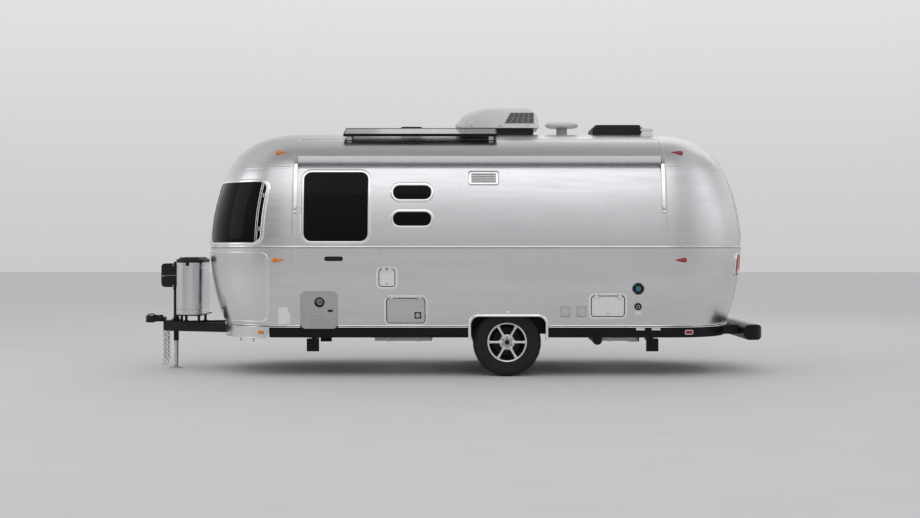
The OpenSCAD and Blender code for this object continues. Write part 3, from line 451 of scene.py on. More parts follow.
def look(origin, normal, up=(0, 0, 1)):
    """Matrix whose Z is the normal and whose Y is close to up."""
    zc = Vector(normal).normalized()
    xc = Vector(up).cross(zc)
    if xc.length < 1e-4:
        xc = Vector((1, 0, 0))
    xc.normalize()
    yc = zc.cross(xc)
    m = Matrix((xc, yc, zc)).transposed().to_4x4()
    m.translation = Vector(origin)
    return m


def seat(p):
    """Place that stands on the skin at a point."""
    return look(p, skin_normal(p))


def block(kit, x0, x1, y0, y1, z0, z1, place=None):
    v = [(x, y, z) for x in (x0, x1) for y in (y0, y1) for z in (z0, z1)]
    f = [(0, 1, 3, 2), (4, 6, 7, 5), (0, 4, 5, 1), (2, 3, 7, 6), (0, 2, 6, 4), (1, 5, 7, 3)]
    kit.add(v, f, place)


def tube(kit, pts, r, n=10, closed=False, flat=1.0):
    """Round bar along points; flat squeezes it along the skin's normal."""
    pts = [Vector(p) for p in pts]
    m = len(pts)
    v = []
    side = None
    for i, p in enumerate(pts):
        a = pts[i - 1] if i or closed else pts[0]
        b = pts[(i + 1) % m] if i < m - 1 or closed else pts[-1]
        t = (b - a).normalized()
        if side is None:
            side = t.orthogonal().normalized()
        side = (side - t * side.dot(t)).normalized()
        up = t.cross(side)
        v += [p + side * r * cos(2 * pi * k / n) + up * r * flat * sin(2 * pi * k / n) for k in range(n)]
    return kit.add(v, quads(m, n, closed) + ([] if closed else caps(m, n)))


def hexagon(kit, rows, place):
    """Six-sided head through (radius, height) rows."""
    n = len(rows)
    v = [(r * cos(pi * i / 3), r * sin(pi * i / 3), z) for r, z in rows for i in range(6)]
    kit.add(v, quads(n, 6) + caps(n, 6)[1:], place)


def bolt(kit, p, n, r=7, h=5):
    """Hexagon head on a washer."""
    m = look(p, n)
    lathe(kit, [(r * 1.5, -0.5), (r * 1.5, 1.0), (r * 1.35, 1.6), (0.01, 1.6)], m, 20)
    hexagon(kit, [(r, 1.0), (r, h - 0.8), (r * 0.86, h)], m)


RIVET_N = 8


def rivet(kit, p, n, r=4.6, h=2.2):
    m = look(p, n)
    v = []
    for k, t in ((1.0, -0.3), (0.94, 0.35), (0.6, 0.85)):
        v += [(r * k * cos(2 * pi * i / RIVET_N), r * k * sin(2 * pi * i / RIVET_N), h * t) for i in range(RIVET_N)]
    v.append((0, 0, h))
    f = quads(3, RIVET_N)
    f += [(2 * RIVET_N + i, 2 * RIVET_N + (i + 1) % RIVET_N, 3 * RIVET_N) for i in range(RIVET_N)]
    kit.add(v, f, m)


def resample(pts, pitch, closed=False):
    """Points about a pitch apart along a line."""
    pts = [Vector(p) for p in pts]
    if closed:
        pts.append(pts[0])
    run = [0.0]
    for a, b in zip(pts, pts[1:]):
        run.append(run[-1] + (b - a).length)
    count = max(1, round(run[-1] / pitch))
    out, j = [], 0
    for i in range(count if closed else count + 1):
        s = run[-1] * i / count
        while j < len(run) - 2 and run[j + 1] < s:
            j += 1
        span = run[j + 1] - run[j] or 1.0
        out.append(pts[j].lerp(pts[j + 1], (s - run[j]) / span))
    return out


def rivet_line(kit, pts, pitch=34, closed=False, r=4.6):
    for p in resample(pts, pitch, closed):
        rivet(kit, p, skin_normal(p), r)


# ---- materials ----
def shader(tree, kind, **inputs):
    """New shader node; an input is linked where a socket is given, otherwise its value is set."""
    new = tree.nodes.new("ShaderNode" + kind)
    for key, value in inputs.items():
        socket = new.inputs[key.replace("_", " ")]
        if isinstance(value, bpy.types.NodeSocket):
            tree.links.new(value, socket)
        else:
            socket.default_value = value
    return new


def material(name, base, other, metallic, rough, scale, bump=0.0, bump_scale=120.0, stretch=(1, 1, 1), coat=0.0,
             wave=0.0, wave_scale=1.8, spec=None):
    """Principled material with noise in its colour and roughness, and bumps of two sizes."""
    m = bpy.data.materials.new(name)
    m.use_nodes = True
    nt = m.node_tree
    b = nt.nodes["Principled BSDF"]
    b.inputs["Metallic"].default_value = metallic
    if coat:
        b.inputs["Coat Weight"].default_value = coat
        b.inputs["Coat Roughness"].default_value = 0.08
    if spec is not None:
        b.inputs["Specular IOR Level"].default_value = spec

    def noise(vector, size, detail=4.0):
        return shader(nt, "TexNoise", Vector=vector, Scale=size, Detail=detail).outputs["Fac"]

    where = shader(nt, "TexCoord").outputs["Object"]
    grain = shader(nt, "Mapping", Vector=where, Scale=stretch).outputs["Vector"]
    ramp = shader(nt, "ValToRGB", Fac=noise(grain, scale))
    for stop, pos, tone in zip(ramp.color_ramp.elements, (0.3, 0.7), (other, base)):
        stop.position = pos
        stop.color = (*tone, 1)
    nt.links.new(ramp.outputs["Color"], b.inputs["Base Color"])
    spread = shader(nt, "MapRange", Value=noise(grain, scale * 2.7), From_Min=0.3, From_Max=0.7,
                    To_Min=rough[0], To_Max=rough[1])
    nt.links.new(spread.outputs["Result"], b.inputs["Roughness"])
    under = {}
    for depth, vector, size, detail in ((wave, where, wave_scale, 2.0), (bump, grain, bump_scale, 3.0)):
        if depth:
            dent = shader(nt, "Bump", Distance=depth, Strength=1.0, Height=noise(vector, size, detail), **under)
            under = {"Normal": dent.outputs["Normal"]}
    if under:
        nt.links.new(under["Normal"], b.inputs["Normal"])
    return m


M = {
    "shell": material("aluminium_skin", (0.75, 0.755, 0.77), (0.70, 0.705, 0.72), 1.0, (0.25, 0.33), 3.0,
                      bump=0.000025, bump_scale=60, stretch=(0.25, 1, 3), wave=0.005, wave_scale=1.6),
    "sill": material("bright_trim", (0.95, 0.95, 0.955), (0.88, 0.885, 0.89), 1.0, (0.12, 0.2), 8.0),
    "guard": material("guard_sheet", (0.77, 0.775, 0.79), (0.72, 0.725, 0.74), 1.0, (0.17, 0.25), 5.0,
                      bump=0.00003, bump_scale=90, stretch=(1, 1, 0.3)),
    "lens_ribbed": material("ribbed_red_lens", (0.45, 0.012, 0.016), (0.33, 0.008, 0.010), 0.0, (0.08, 0.16), 60.0,
                            coat=0.5, bump=0.0012, bump_scale=70, stretch=(0.2, 0.2, 3)),
    "lid_grey": material("brushed_lid", (0.66, 0.67, 0.68), (0.60, 0.61, 0.62), 0.9, (0.34, 0.44), 8.0,
                         stretch=(0.3, 1, 4)),
    "teal_plastic": material("teal_plastic", (0.03, 0.22, 0.28), (0.02, 0.16, 0.21), 0.0, (0.3, 0.45), 30.0),
    "outlet_grey": material("outlet_grey", (0.60, 0.61, 0.62), (0.55, 0.56, 0.57), 0.0, (0.35, 0.5), 30.0),
    "awning_cloth": material("awning_cloth", (0.80, 0.81, 0.82), (0.73, 0.74, 0.75), 0.0, (0.5, 0.65), 40.0,
                             bump=0.0002, bump_scale=700, stretch=(1, 0.2, 0.2)),
    "grip": material("step_grip", (0.03, 0.03, 0.03), (0.015, 0.015, 0.015), 0.0, (0.7, 0.9), 200.0, bump=0.0005,
                     bump_scale=900),
    "rivet": material("rivet_heads", (0.74, 0.75, 0.76), (0.64, 0.65, 0.66), 1.0, (0.28, 0.4), 40.0),
    "bright": material("cast_aluminium", (0.80, 0.80, 0.81), (0.70, 0.70, 0.71), 1.0, (0.25, 0.38), 20.0),
    "frame": material("chassis_paint", (0.014, 0.014, 0.016), (0.009, 0.009, 0.010), 0.0, (0.38, 0.55), 14.0, spec=0.25,
                      bump=0.0002, bump_scale=240),
    "zinc": material("zinc_plate", (0.62, 0.63, 0.65), (0.48, 0.49, 0.50), 1.0, (0.28, 0.45), 60.0),
    "black_plastic": material("black_plastic", (0.014, 0.014, 0.015), (0.009, 0.009, 0.010), 0.0, (0.4, 0.6), 30.0,
                              spec=0.3, bump=0.00015, bump_scale=900),
    "grey_plastic": material("grey_plastic", (0.46, 0.47, 0.48), (0.42, 0.43, 0.44), 0.0, (0.35, 0.5), 30.0,
                             bump=0.0001, bump_scale=800),
    "white_plastic": material("white_plastic", (0.88, 0.88, 0.875), (0.84, 0.84, 0.835), 0.0, (0.3, 0.45), 16.0,
                              bump=0.00008, bump_scale=500),
    "black_paint": material("black_paint", (0.006, 0.006, 0.007), (0.004, 0.004, 0.005), 0.0, (0.3, 0.44), 10.0,
                            spec=0.2),
    "glass": material("dark_glass", (0.003, 0.003, 0.004), (0.002, 0.002, 0.003), 0.0, (0.03, 0.07), 3.0, spec=0.1),
    "tyre": material("tyre_rubber", (0.013, 0.013, 0.013), (0.009, 0.009, 0.009), 0.0, (0.5, 0.7), 40.0, spec=0.3,
                     bump=0.0003, bump_scale=500),
    "rim": material("machined_alloy", (0.82, 0.82, 0.83), (0.74, 0.74, 0.75), 1.0, (0.18, 0.28), 30.0),
    "drum": material("brake_drum", (0.022, 0.021, 0.020), (0.012, 0.011, 0.010), 0.3, (0.55, 0.75), 40.0),
    "amber": material("amber_lens", (0.85, 0.26, 0.02), (0.70, 0.18, 0.01), 0.0, (0.08, 0.16), 30.0, coat=0.5),
    "red": material("red_lens", (0.42, 0.012, 0.016), (0.30, 0.008, 0.010), 0.0, (0.08, 0.16), 30.0, coat=0.5),
    "solar": material("solar_cells", (0.012, 0.016, 0.035), (0.008, 0.010, 0.022), 0.0, (0.08, 0.16), 30.0, coat=0.4),
}

# CAD nodes that stay get the material of their slot, except the floor panel and the wheel wells, which get the
# near-black chassis material; those in BEVELS get softened edges
BEVELS = {
    "frame_rails": 3, "cross_members": 3, "drawbar": 3, "gas_tray": 2, "coupler": 3, "axle": 3, "holding_tanks": 12,
    "stabilizers": 2, "step_bracket": 1.5, "jack_leg": 1, "hinges": 1,
}
for row in frame["record"]["subparts"]:
    ob = frame["nodes"][row["node"]]
    mat = M["frame" if row["node"] in ("floor_panel", "wheel_wells") else row["material_slot"]]
    if ob.data.materials:
        for i in range(len(ob.data.materials)):
            ob.material_slots[i].material = mat
    else:
        ob.data.materials.append(mat)
    if row["node"] in BEVELS:
        w = ob.modifiers.new("weld", "WELD")
        w.merge_threshold = 0.00002
        add_bevel(ob, BEVELS[row["node"]])

# ---- shell panels ----
TURNS = [0, 2.5, 5, 7.5, 10, 12.5, 15] + [15 + 3 * i for i in range(1, 21)]
LOWS = [WALL_Z + (BELT - WALL_Z) * i / 10 for i in range(11)]
CAP_TURNS = [0, 2.5, 5, 7.5, 10, 12.5, 15] + [15 + 2.5 * i for i in range(1, 29)] + [86.5, 88, 89]
F_ANGLES = [-90 + 2.5 * i for i in range(73)]
MID_STEPS = 30


def side_panel(way, high):
    """Sheet of a side wall above or below the belt line."""
    grids = []
    for w in (0, WALL_T):
        xs = [REAR_X + MID_L * i / MID_STEPS for i in range(MID_STEPS + 1)]
        if way > 0:
            xs.reverse()
        zs = [turn_pt(t, w)[1] for t in TURNS] if high else LOWS
        grids.append([[Vector((x, way * reach(SIDE, z, w), z)) for x in xs] for z in zs])
    return grid_shell(*grids)


def cap_panel(end, high):
    """Sheet of an end above or below the belt line."""
    grids = []
    for w in (0, WALL_T):
        zs = [turn_pt(t, w)[1] for t in CAP_TURNS] if high else LOWS
        grids.append([[cap_pt(end, z, f, w) for f in F_ANGLES] for z in zs])
    return grid_shell(*grids, high)


def roof_rows(w):
    rows = []
    for i in range(25):
        t = 75 + 30 * i / 24
        y, z = turn_pt(min(t, 180 - t), w)
        rows.append([Vector((FRONT_X - MID_L * k / 12, y if t <= 90 else -y, z)) for k in range(13)])
    return rows


def through_side(way, pts):
    return prism(pts, lambda u, v, t: Vector((u, way * t, v)), 700, 1320)


def through_end(pts, x0, x1):
    return prism(pts, lambda u, v, t: Vector((t, u, v)), x0, x1)


def corner_tool(skin, pts):
    def place(u, v, t):
        q = skin.mid + skin.along * u + skin.out * t
        return Vector((FRONT_X + q.x, skin.way * q.y, v))
    return prism(pts, place, -300, 500)


def along(share):
    """Place at a share of the straight middle of the body."""
    return REAR_X + share * MID_L


def mid_at(share, w):
    """Rear edge of a piece of width w that is centred at a share of the middle."""
    return along(share) - w / 2


SIDE_WIN = (along(0.7974), 1379, 0.1786 * MID_L, 728, 90)
SLOT_X, SLOT_W, KERB_W = along(0.6275), 0.108 * MID_L, 0.1791 * MID_L
WIN_LEFT = [SIDE_WIN, (SLOT_X, 1809, SLOT_W, 161, 78), (SLOT_X, 1537, SLOT_W, 161, 78)]
WIN_RIGHT = [SIDE_WIN, (along(0.3264), 1450, KERB_W, 420, 80), (along(0.0709), 1450, KERB_W, 420, 80)]
END_Y, TAIL_Y = 0.369 * HALF_W, 0.426 * HALF_W
END_WIN = (-END_Y, 1366, 2 * END_Y, 644, 90)
CORNER_WIN = (-425, 1366, 850, 644, 90)
TAIL_WIN = (-TAIL_Y, 1420, 2 * TAIL_Y, 500, 90)
DOOR_W = 660
DOOR_X = mid_at(0.6583, DOOR_W)
DOOR = (DOOR_X, 560, DOOR_W, 1730, 90)
DOOR_WIN = (DOOR_X + 140, 1480, DOOR_W - 280, 500, 80)
GAP = 9
ACCESS = (mid_at(0.6984, 384), 555, 384, 248, 30, 24)
SERVICE = (mid_at(0.1545, 329), 623, 329, 202, 26, 24)
FILL = (mid_at(0.7489, 154), 932, 154, 167, 22, 15)
HEATER = (mid_at(0.9323, 384), 494, 384, 383, 56)
VENT = (mid_at(0.4888, 293), 1974, 293, 127, 16)
WHEEL_X, WHEEL_Y, WHEEL_Z = along(0.4249), 1000, 351
ARCH = (WHEEL_X - 392.5, 330, 765, 286, 80)

street_cuts = [pane(p, GAP) for p in (ACCESS, SERVICE, FILL)] + [pane(ARCH)]
for high, way, name, node, cuts in (
    (False, 1, "wall_lower_street", "lower_wall_left", street_cuts),
    (False, -1, "wall_lower_kerb", "lower_wall_right", [pane(DOOR, GAP), pane(ARCH)]),
    (True, 1, "wall_upper_street", "upper_wall_left", [pane(p) for p in WIN_LEFT]),
    (True, -1, "wall_upper_kerb", "upper_wall_right", [pane(p) for p in WIN_RIGHT] + [pane(DOOR, GAP)]),
):
    shell_piece(name, side_panel(way, high), node, [through_side(way, pts) for pts in cuts])
shell_piece("roof_skin", grid_shell(roof_rows(0), roof_rows(WALL_T)), "roof")
nose_tools = [through_end(pane(END_WIN), FRONT_X + 500, FRONT_X + 1100)]
nose_tools += [corner_tool(c, pane(CORNER_WIN)) for c in CORNERS]
tail_tools = [through_end(pane(TAIL_WIN), REAR_X - 1050, REAR_X - 470)]
shell_piece("nose_upper", cap_panel(FRONT, True), "front_cap_upper", nose_tools)
shell_piece("tail_upper", cap_panel(REAR, True), "rear_cap_upper", tail_tools)
shell_piece("nose_lower", cap_panel(FRONT, False), "front_cap_lower")
shell_piece("tail_lower", cap_panel(REAR, False), "rear_cap_lower")

# ---- windows ----
FRAME_SECTION = [(-10, 0.3), (-10, 2.4), (-8.5, 4.4), (-5, 5.8), (0, 6.2), (6, 6.0), (12, 5.0), (17, 3.4), (20.5, 1.6),
                 (22, 0.3)]
SEAL_SECTION = [(-16, -4), (-16, 1.5), (-14, 2.6), (-11, 2.6), (-10, 1.0), (-10, -4)]
GLASS_NX, GLASS_NZ = 14, 12


def window(name, skin, p, glass_node, frame_node, body="caravan"):
    glass, ring, seal = Kit(), Kit(), Kit()
    skin_plate(glass, skin, p, 0.0, -10.0, 1.0, GLASS_NZ, GLASS_NX, -0.5)
    frame_ring(ring, skin, pane(p, 0, 14), FRAME_SECTION)
    frame_ring(seal, skin, pane(p, 0, 14), SEAL_SECTION)
    piece(name + "_glass", glass, "glass", body, node=glass_node)
    piece(name + "_frame", ring, "sill", body, node=frame_node)
    piece(name + "_seal", seal, "black_plastic", body)


WINDOWS = (
    [("win_street_%d" % i, LEFT, p) for i, p in enumerate(WIN_LEFT)]
    + [("win_kerb_%d" % i, RIGHT, p) for i, p in enumerate(WIN_RIGHT)]
    + [("win_nose", NOSE_SKIN, END_WIN), ("win_corner_street", CORNERS[0], CORNER_WIN),
       ("win_corner_kerb", CORNERS[1], CORNER_WIN), ("win_tail", TAIL_SKIN, TAIL_WIN)]
)
for name, skin, p in WINDOWS:
    place = "side" if name.startswith(("win_street", "win_kerb")) else "end"
    window(name, skin, p, place + "_windows", place + "_frames")

# ---- mouldings: sections swept around the body at one height ----
CAP_STEPS = 64


def side_run(z, way, x0, x1, n=None):
    """Stations along a wall at height z: functions of (distance up, height off the skin)."""
    def station(x):
        return lambda d, h: Vector((x, way * reach(SIDE, max(z + d, WALL_Z), -h), z + d))
    n = n or max(2, round(abs(x1 - x0) / 120))
    return [station(x0 + (x1 - x0) * i / n) for i in range(n + 1)]


def cap_run(z, end, f0=-90, f1=90, n=None):
    """The same around an end, between two plan angles."""
    def station(f):
        def at(d, h):
            q = cap_pt(end, max(z + d, WALL_Z), f, -h)
            return Vector((q.x, q.y, z + d))
        return at
    n = n or max(6, round(abs(f1 - f0) / 180 * CAP_STEPS))
    return [station(f0 + (f1 - f0) * i / n) for i in range(n + 1)]


def moulding(kit, run, prof):
    kit.add(*ring_sweep(run, prof, False))


def bead(d, r, h):
    return [(d + r * cos(radians(a)), 0.6 + h * sin(radians(a))) for a in range(0, 181, 30)]


def strip(d0, d1, h):
    return [(d0, 0.2), (d0, h - 0.4), (d0 + 0.8, h), (d1 - 0.8, h), (d1, h - 0.4), (d1, 0.2)]


BELT_Z = 1328
TRIM_W = 28
ARCH_X0 = ARCH[0] - TRIM_W
ARCH_X1 = ARCH[0] + ARCH[2] + TRIM_W
DOOR_X1 = DOOR_X + DOOR_W
belt, belt_dark = Kit(), Kit()
belt_runs = [
    side_run(BELT_Z, 1, FRONT_X, REAR_X) + cap_run(BELT_Z, REAR)[1:-1]
    + side_run(BELT_Z, -1, REAR_X, DOOR_X - GAP - 1),
    side_run(BELT_Z, -1, DOOR_X1 + GAP + 1, FRONT_X) + cap_run(BELT_Z, FRONT)[1:],
]
for run in belt_runs:
    moulding(belt, run, strip(-13, 12, 1.6))
    moulding(belt, run, bead(5.5, 5.5, 6.4))
    moulding(belt_dark, run, bead(-7, 3.2, 3.2))
piece("belt_moulding", belt, "sill")
piece("belt_shadow_line", belt_dark, "black_paint")
door_belt = Kit()
moulding(door_belt, side_run(BELT_Z, -1, DOOR_X + 3, DOOR_X1 - 3), strip(-13, 12, 1.6))
moulding(door_belt, side_run(BELT_Z, -1, DOOR_X + 3, DOOR_X1 - 3), bead(5.5, 5.5, 6.4))
piece("door_belt_moulding", door_belt, "sill", "entry_door")

SILL_Z = 518
sill, sill_shade = Kit(), Kit()
sill_runs = [
    side_run(SILL_Z, 1, HEATER[0] - 3, ARCH_X1 + 1),
    side_run(SILL_Z, 1, ARCH_X0 - 1, REAR_X) + cap_run(SILL_Z, REAR)[1:-1]
    + side_run(SILL_Z, -1, REAR_X, ARCH_X0 - 1),
    side_run(SILL_Z, -1, ARCH_X1 + 1, FRONT_X) + cap_run(SILL_Z, FRONT)[1:-1]
    + side_run(SILL_Z, 1, FRONT_X, HEATER[0] + HEATER[2] + 3),
]
for run in sill_runs:
    moulding(sill, run, bead(7.5, 5.5, 8.5))
    moulding(sill, run, bead(-8.5, 5.5, 8.5))
    # the black strip that shows between the two bright beads is painted shade in the groove
    moulding(sill_shade, run, strip(-14, 13, 2.2))
piece("sill_moulding", sill, "sill")
piece("painted_groove_shade", sill_shade, "black_paint")

# ---- seams of the skin: lapped strips with rivets ----
SEAM_Z = 2150
seams = Kit()
rivets = {k: Kit() for k in ("street", "kerb", "nose", "tail", "roof")}


def side_line(x, way, z0, z1, n=40):
    return [Vector((x, way * reach(SIDE, z0 + (z1 - z0) * i / n), z0 + (z1 - z0) * i / n)) for i in range(n + 1)]


def hoop(x, turn0=0.0, turn1=180.0, n=90):
    """Points of the skin around the roof at one place along the body."""
    out = []
    for i in range(n + 1):
        t = turn0 + (turn1 - turn0) * i / n
        y, z = turn_pt(min(t, 180 - t))
        out.append(Vector((x, y if t <= 90 else -y, z)))
    return out


def lap(points, half, h=1.4, kit=None):
    """Flat lapped strip along points of the skin."""
    pts = [Vector(p) for p in points]
    n = len(pts)
    v = []
    for i, p in enumerate(pts):
        t = (pts[min(i + 1, n - 1)] - pts[max(i - 1, 0)]).normalized()
        nn = skin_normal(p)
        s = t.cross(nn).normalized()
        for d, k in ((-half, 0.1), (-half, h * 0.6), (-half + 1.5, h), (half - 1.5, h), (half, h * 0.6), (half, 0.1)):
            v.append(p + s * d + nn * k)
    (kit or seams).add(v, quads(n, 6) + caps(n, 6))


def shifted(points, d):
    """The same line moved sideways on the skin."""
    pts = [Vector(p) for p in points]
    out = []
    for i, p in enumerate(pts):
        t = (pts[min(i + 1, len(pts) - 1)] - pts[max(i - 1, 0)]).normalized()
        out.append(p + t.cross(skin_normal(p)).normalized() * d)
    return out


PITCH = 38
for x in (FRONT_X, REAR_X):
    for way, side in SIDES:
        low = side_line(x, way, WALL_Z + 10, BELT_Z - 16)
        lap(low, 20)
        for d in (-9, 9):
            rivet_line(rivets[side], shifted(low, d), PITCH)
    top = [p for p in hoop(x) if p.z > BELT + 6]
    lap(top, 20)
    for d in (-9, 9):
        rivet_line(rivets["roof"], shifted(top, d), PITCH)

# roof and shoulder seams along the body, the last one split at the door
SHOULDER_TURN = 33.5
for t in (SHOULDER_TURN, 75, 105, 180 - SHOULDER_TURN):
    y, z = turn_pt(min(t, 180 - t))
    ends = [FRONT_X - 24, DOOR_X1 + GAP + 2, DOOR_X - GAP - 2, REAR_X + 24]
    for a, b in zip(ends[::2], ends[1::2]) if t > 140 else [(ends[0], ends[-1])]:
        line = [Vector((a + (b - a) * i / 60, y if t < 90 else -y, z)) for i in range(61)]
        lap(line, 13)
        rivet_line(rivets["roof"], line[1:-1], PITCH)

# seams of the ends
MERIDIAN = 28
for end, key in ((FRONT, "nose"), (REAR, "tail")):
    ring = [cap_pt(end, SEAM_Z, f) for f in [-88.5 + 177 * i / 90 for i in range(91)]]
    lap(ring, 12)
    rivet_line(rivets[key], ring, PITCH)
    for f in (-MERIDIAN, MERIDIAN):
        tops = [turn_pt(t)[1] for t in range(22, 87, 2)]
        high = [cap_pt(end, z, f) for z in tops if z > SEAM_Z + 20]
        lap(high, 13)
        for d in (-7, 7):
            rivet_line(rivets[key], shifted(high, d), PITCH + 6)
        if key == "tail":
            for z0, z1 in ((WALL_Z + 12, BELT_Z - 16), (BELT_Z + 16, SEAM_Z - 14)):
                line = [cap_pt(end, z0 + (z1 - z0) * i / 30, f) for i in range(31)]
                lap(line, 16)
                for d in (-8, 8):
                    rivet_line(rivets[key], shifted(line, d), PITCH)
piece("skin_seams", seams, "shell", smooth=50)

# rivets along the mouldings, the ribs and the window frames
for z, lo in ((BELT_Z + 19, 0), (BELT_Z - 20, 0), (WALL_Z + 14, 1)):
    for way, side in SIDES:
        gaps = [(DOOR_X - 30, DOOR_X1 + 60)] if side == "kerb" else []
        if lo:
            gaps.append((ARCH_X0 - 12, ARCH_X1 + 12))
        if lo and side == "street":
            gaps += [(q[0] - room, q[0] + q[2] + room) for q, room in ((HEATER, 14), (ACCESS, 30))]
        line = [Vector((x, way * reach(SIDE, z), z)) for x in (REAR_X + 26, FRONT_X - 26)]
        for p in resample(line, PITCH):
            if not any(a < p.x < b for a, b in gaps):
                rivet(rivets[side], p, skin_normal(p))
    for end, key in ((FRONT, "nose"), (REAR, "tail")):
        if key == "nose" and z > BELT_Z:
            continue
        for a, b in ((-88, 88),) if key == "tail" else ((-88, -66), (66, 88)):
            rivet_line(rivets[key], [cap_pt(end, z, a + (b - a) * i / 60) for i in range(61)], PITCH)
RIBS = [723, -145, -640, -1135, -1630]
RIB_LOW, RIB_HIGH, RIB_ROOM = (1197, 945, 695), (1480, 1640, 1800, 1960, 2090), 45
for x in RIBS:
    for z in RIB_LOW:
        rivet(rivets["street"], LEFT.at(x, z), skin_normal(LEFT.at(x, z)), 6.5, 3)
        if not (DOOR_X - 30 < x < DOOR_X1 + 60):
            rivet(rivets["kerb"], RIGHT.at(x, z), skin_normal(RIGHT.at(x, z)), 6.5, 3)
    for z in RIB_HIGH:
        for way, wins, side in ((1, WIN_LEFT + [VENT], "street"), (-1, WIN_RIGHT + [DOOR], "kerb")):
            hit = (w[0] - RIB_ROOM < x < w[0] + w[2] + RIB_ROOM and w[1] - RIB_ROOM < z < w[1] + w[3] + RIB_ROOM
                   for w in wins)
            if not any(hit):
                q = Vector((x, way * reach(SIDE, z), z))
                rivet(rivets[side], q, skin_normal(q), 5.5, 2.6)
for name, skin, p in WINDOWS:
    key = "street" if "street" in name else "kerb" if "kerb" in name else "nose" if "nose" in name else "tail"
    for q in resample([Vector((u, z, 0)) for u, z in pane(p, 16, 14)], 36, True):
        at = skin.at(q.x, q.y, -4.0)
        rivet(rivets[key], at, skin_normal(skin.at(q.x, q.y)), 3.6, 1.8)
for key, kit in rivets.items():
    piece("rivets_" + key, kit, "rivet", slot="shell", smooth=60)

# ---- stone guards and the wrap below them ----
WRAP_X, WRAP_Z, WRAP_TOP = FRONT_X + 263, 395, 510
GUARD_X, GUARD_Z0, GUARD_Z1, GUARD_R = WRAP_X - 10, 565, 1274, 90
GUARD_GAP = 380


def f_at_x(z, x, w=0.0, end=FRONT):
    u = min(1.0, (x - end[0]) * end[1] / reach(end[2], z, w))
    return degrees(acos(u ** (PLAN_P / 2)))


def f_at_y(z, y, w=0.0):
    return degrees(asin(min(1.0, y / reach(SIDE, z, w)) ** (PLAN_P / 2)))


def guard_edge(z):
    """Rear edge of the guard at a height, with its rounded corners."""
    d = max(0.0, z - (GUARD_Z1 - GUARD_R), GUARD_Z0 + GUARD_R - z)
    return GUARD_X + GUARD_R - sqrt(max(0.0, GUARD_R**2 - d * d))


def guard_piece(way):
    def at(z, f, h):
        return on_side(cap_pt(FRONT, z, f, -h), way)
    n, k = 34, 26
    zs = [GUARD_Z0 + (GUARD_Z1 - GUARD_Z0) * (0.5 - 0.5 * cos(pi * i / n)) for i in range(n + 1)]
    outer = []
    for z in zs:
        fa, fb = f_at_x(z, guard_edge(z)), f_at_y(z, GUARD_GAP)
        outer.append([(z, fa + (fb - fa) * j / k) for j in range(k + 1)])
    rows = [[at(z, f, 4.0) for z, f in row] for row in outer]
    back = [[at(z, f, 0.2) for z, f in row] for row in outer]
    if way < 0:
        rows, back = [r[::-1] for r in rows], [r[::-1] for r in back]
    kit = grid_shell(rows, back)
    rim = Kit()
    tube(rim, [at(*row[0], 5.0) for row in outer] + [at(*q, 5.0) for q in outer[-1][1:]], 6.0)
    tube(rim, [at(z, f_at_x(z, guard_edge(z) + 22), 5.0) for z in zs[3:-6]], 4.0)
    tube(rim, [at(*q, 5.0) for q in outer[0]], 5.0)
    tube(rim, [at(*row[-1], 5.0) for row in outer], 5.0)
    return kit, rim


def plan_pt(f, z, h):
    """Point of the upright band under the front end."""
    q = cap_pt(FRONT, WALL_Z, f, -h)
    return Vector((q.x, q.y, z))


def wrap_piece(way):
    r = 46
    k, n = 26, 12
    zs = [WRAP_TOP - (WRAP_TOP - WRAP_Z) * i / n for i in range(n + 1)]
    fb = f_at_y(WALL_Z, GUARD_GAP)
    cells = []
    for z in zs:
        d = max(0.0, WRAP_Z + r - z)
        fa = f_at_x(WALL_Z, WRAP_X + r - sqrt(max(0.0, r * r - d * d)))
        cells.append([(fa + (fb - fa) * j / k, z) for j in range(k + 1)])

    def at(f, z, h):
        return on_side(plan_pt(f, z, h), way)
    rows = [[at(f, z, 0.0) for f, z in row] for row in reversed(cells)]
    back = [[at(f, z, -8.0) for f, z in row] for row in reversed(cells)]
    if way < 0:
        rows, back = [q[::-1] for q in rows], [q[::-1] for q in back]
    rim = Kit()
    tube(rim, [at(*row[0], 0.5) for row in cells] + [at(*q, 0.5) for q in cells[-1][1:]], 5.0)
    return grid_shell(rows, back), rim


for way, side in SIDES:
    for name, (body, rim) in (("stone_guard_", guard_piece(way)), ("front_wrap_", wrap_piece(way))):
        piece(name + side, body, "guard", slot="bright", smooth=40, node="front_guards")
        piece(name + "edge_" + side, rim, "sill", smooth=60)

# ---- skirt under the floor ----
SKIRT_Z, SKIRT_IN, SKIRT_T = 402, 12, 8
RAIL_Y, RAIL_W = 620, 50
SKIRT_D = SKIRT_Z - FLOOR_Z
SKIRT_PROF = [(0, -SKIRT_IN), (0, -SKIRT_IN - SKIRT_T), (SKIRT_D, -SKIRT_IN - SKIRT_T), (SKIRT_D, -SKIRT_IN - 1),
              (SKIRT_D + 1, -SKIRT_IN)]
skirt = Kit()
f_out, f_in = f_at_y(WALL_Z, RAIL_Y + RAIL_W), f_at_y(WALL_Z, RAIL_Y - RAIL_W)
f_wrap = f_at_x(WALL_Z, WRAP_X - 1)
a0, a1 = ARCH[0], ARCH[0] + ARCH[2]
for run in (
    side_run(FLOOR_Z, 1, a0, REAR_X, 8) + cap_run(FLOOR_Z, REAR, -90, -f_out, 24)[1:],
    cap_run(FLOOR_Z, REAR, -f_in, f_in, 24),
    cap_run(FLOOR_Z, REAR, f_out, 90, 24)[:-1] + side_run(FLOOR_Z, -1, REAR_X, a0, 8),
    side_run(FLOOR_Z, -1, a1, FRONT_X, 8) + cap_run(FLOOR_Z, FRONT, -90, -f_wrap, 10)[1:],
    cap_run(FLOOR_Z, FRONT, f_wrap, 90, 10)[:-1] + side_run(FLOOR_Z, 1, FRONT_X, a1, 8),
):
    moulding(skirt, run, SKIRT_PROF)
piece("skirt_band", skirt, "black_paint", smooth=40, node="skirt")

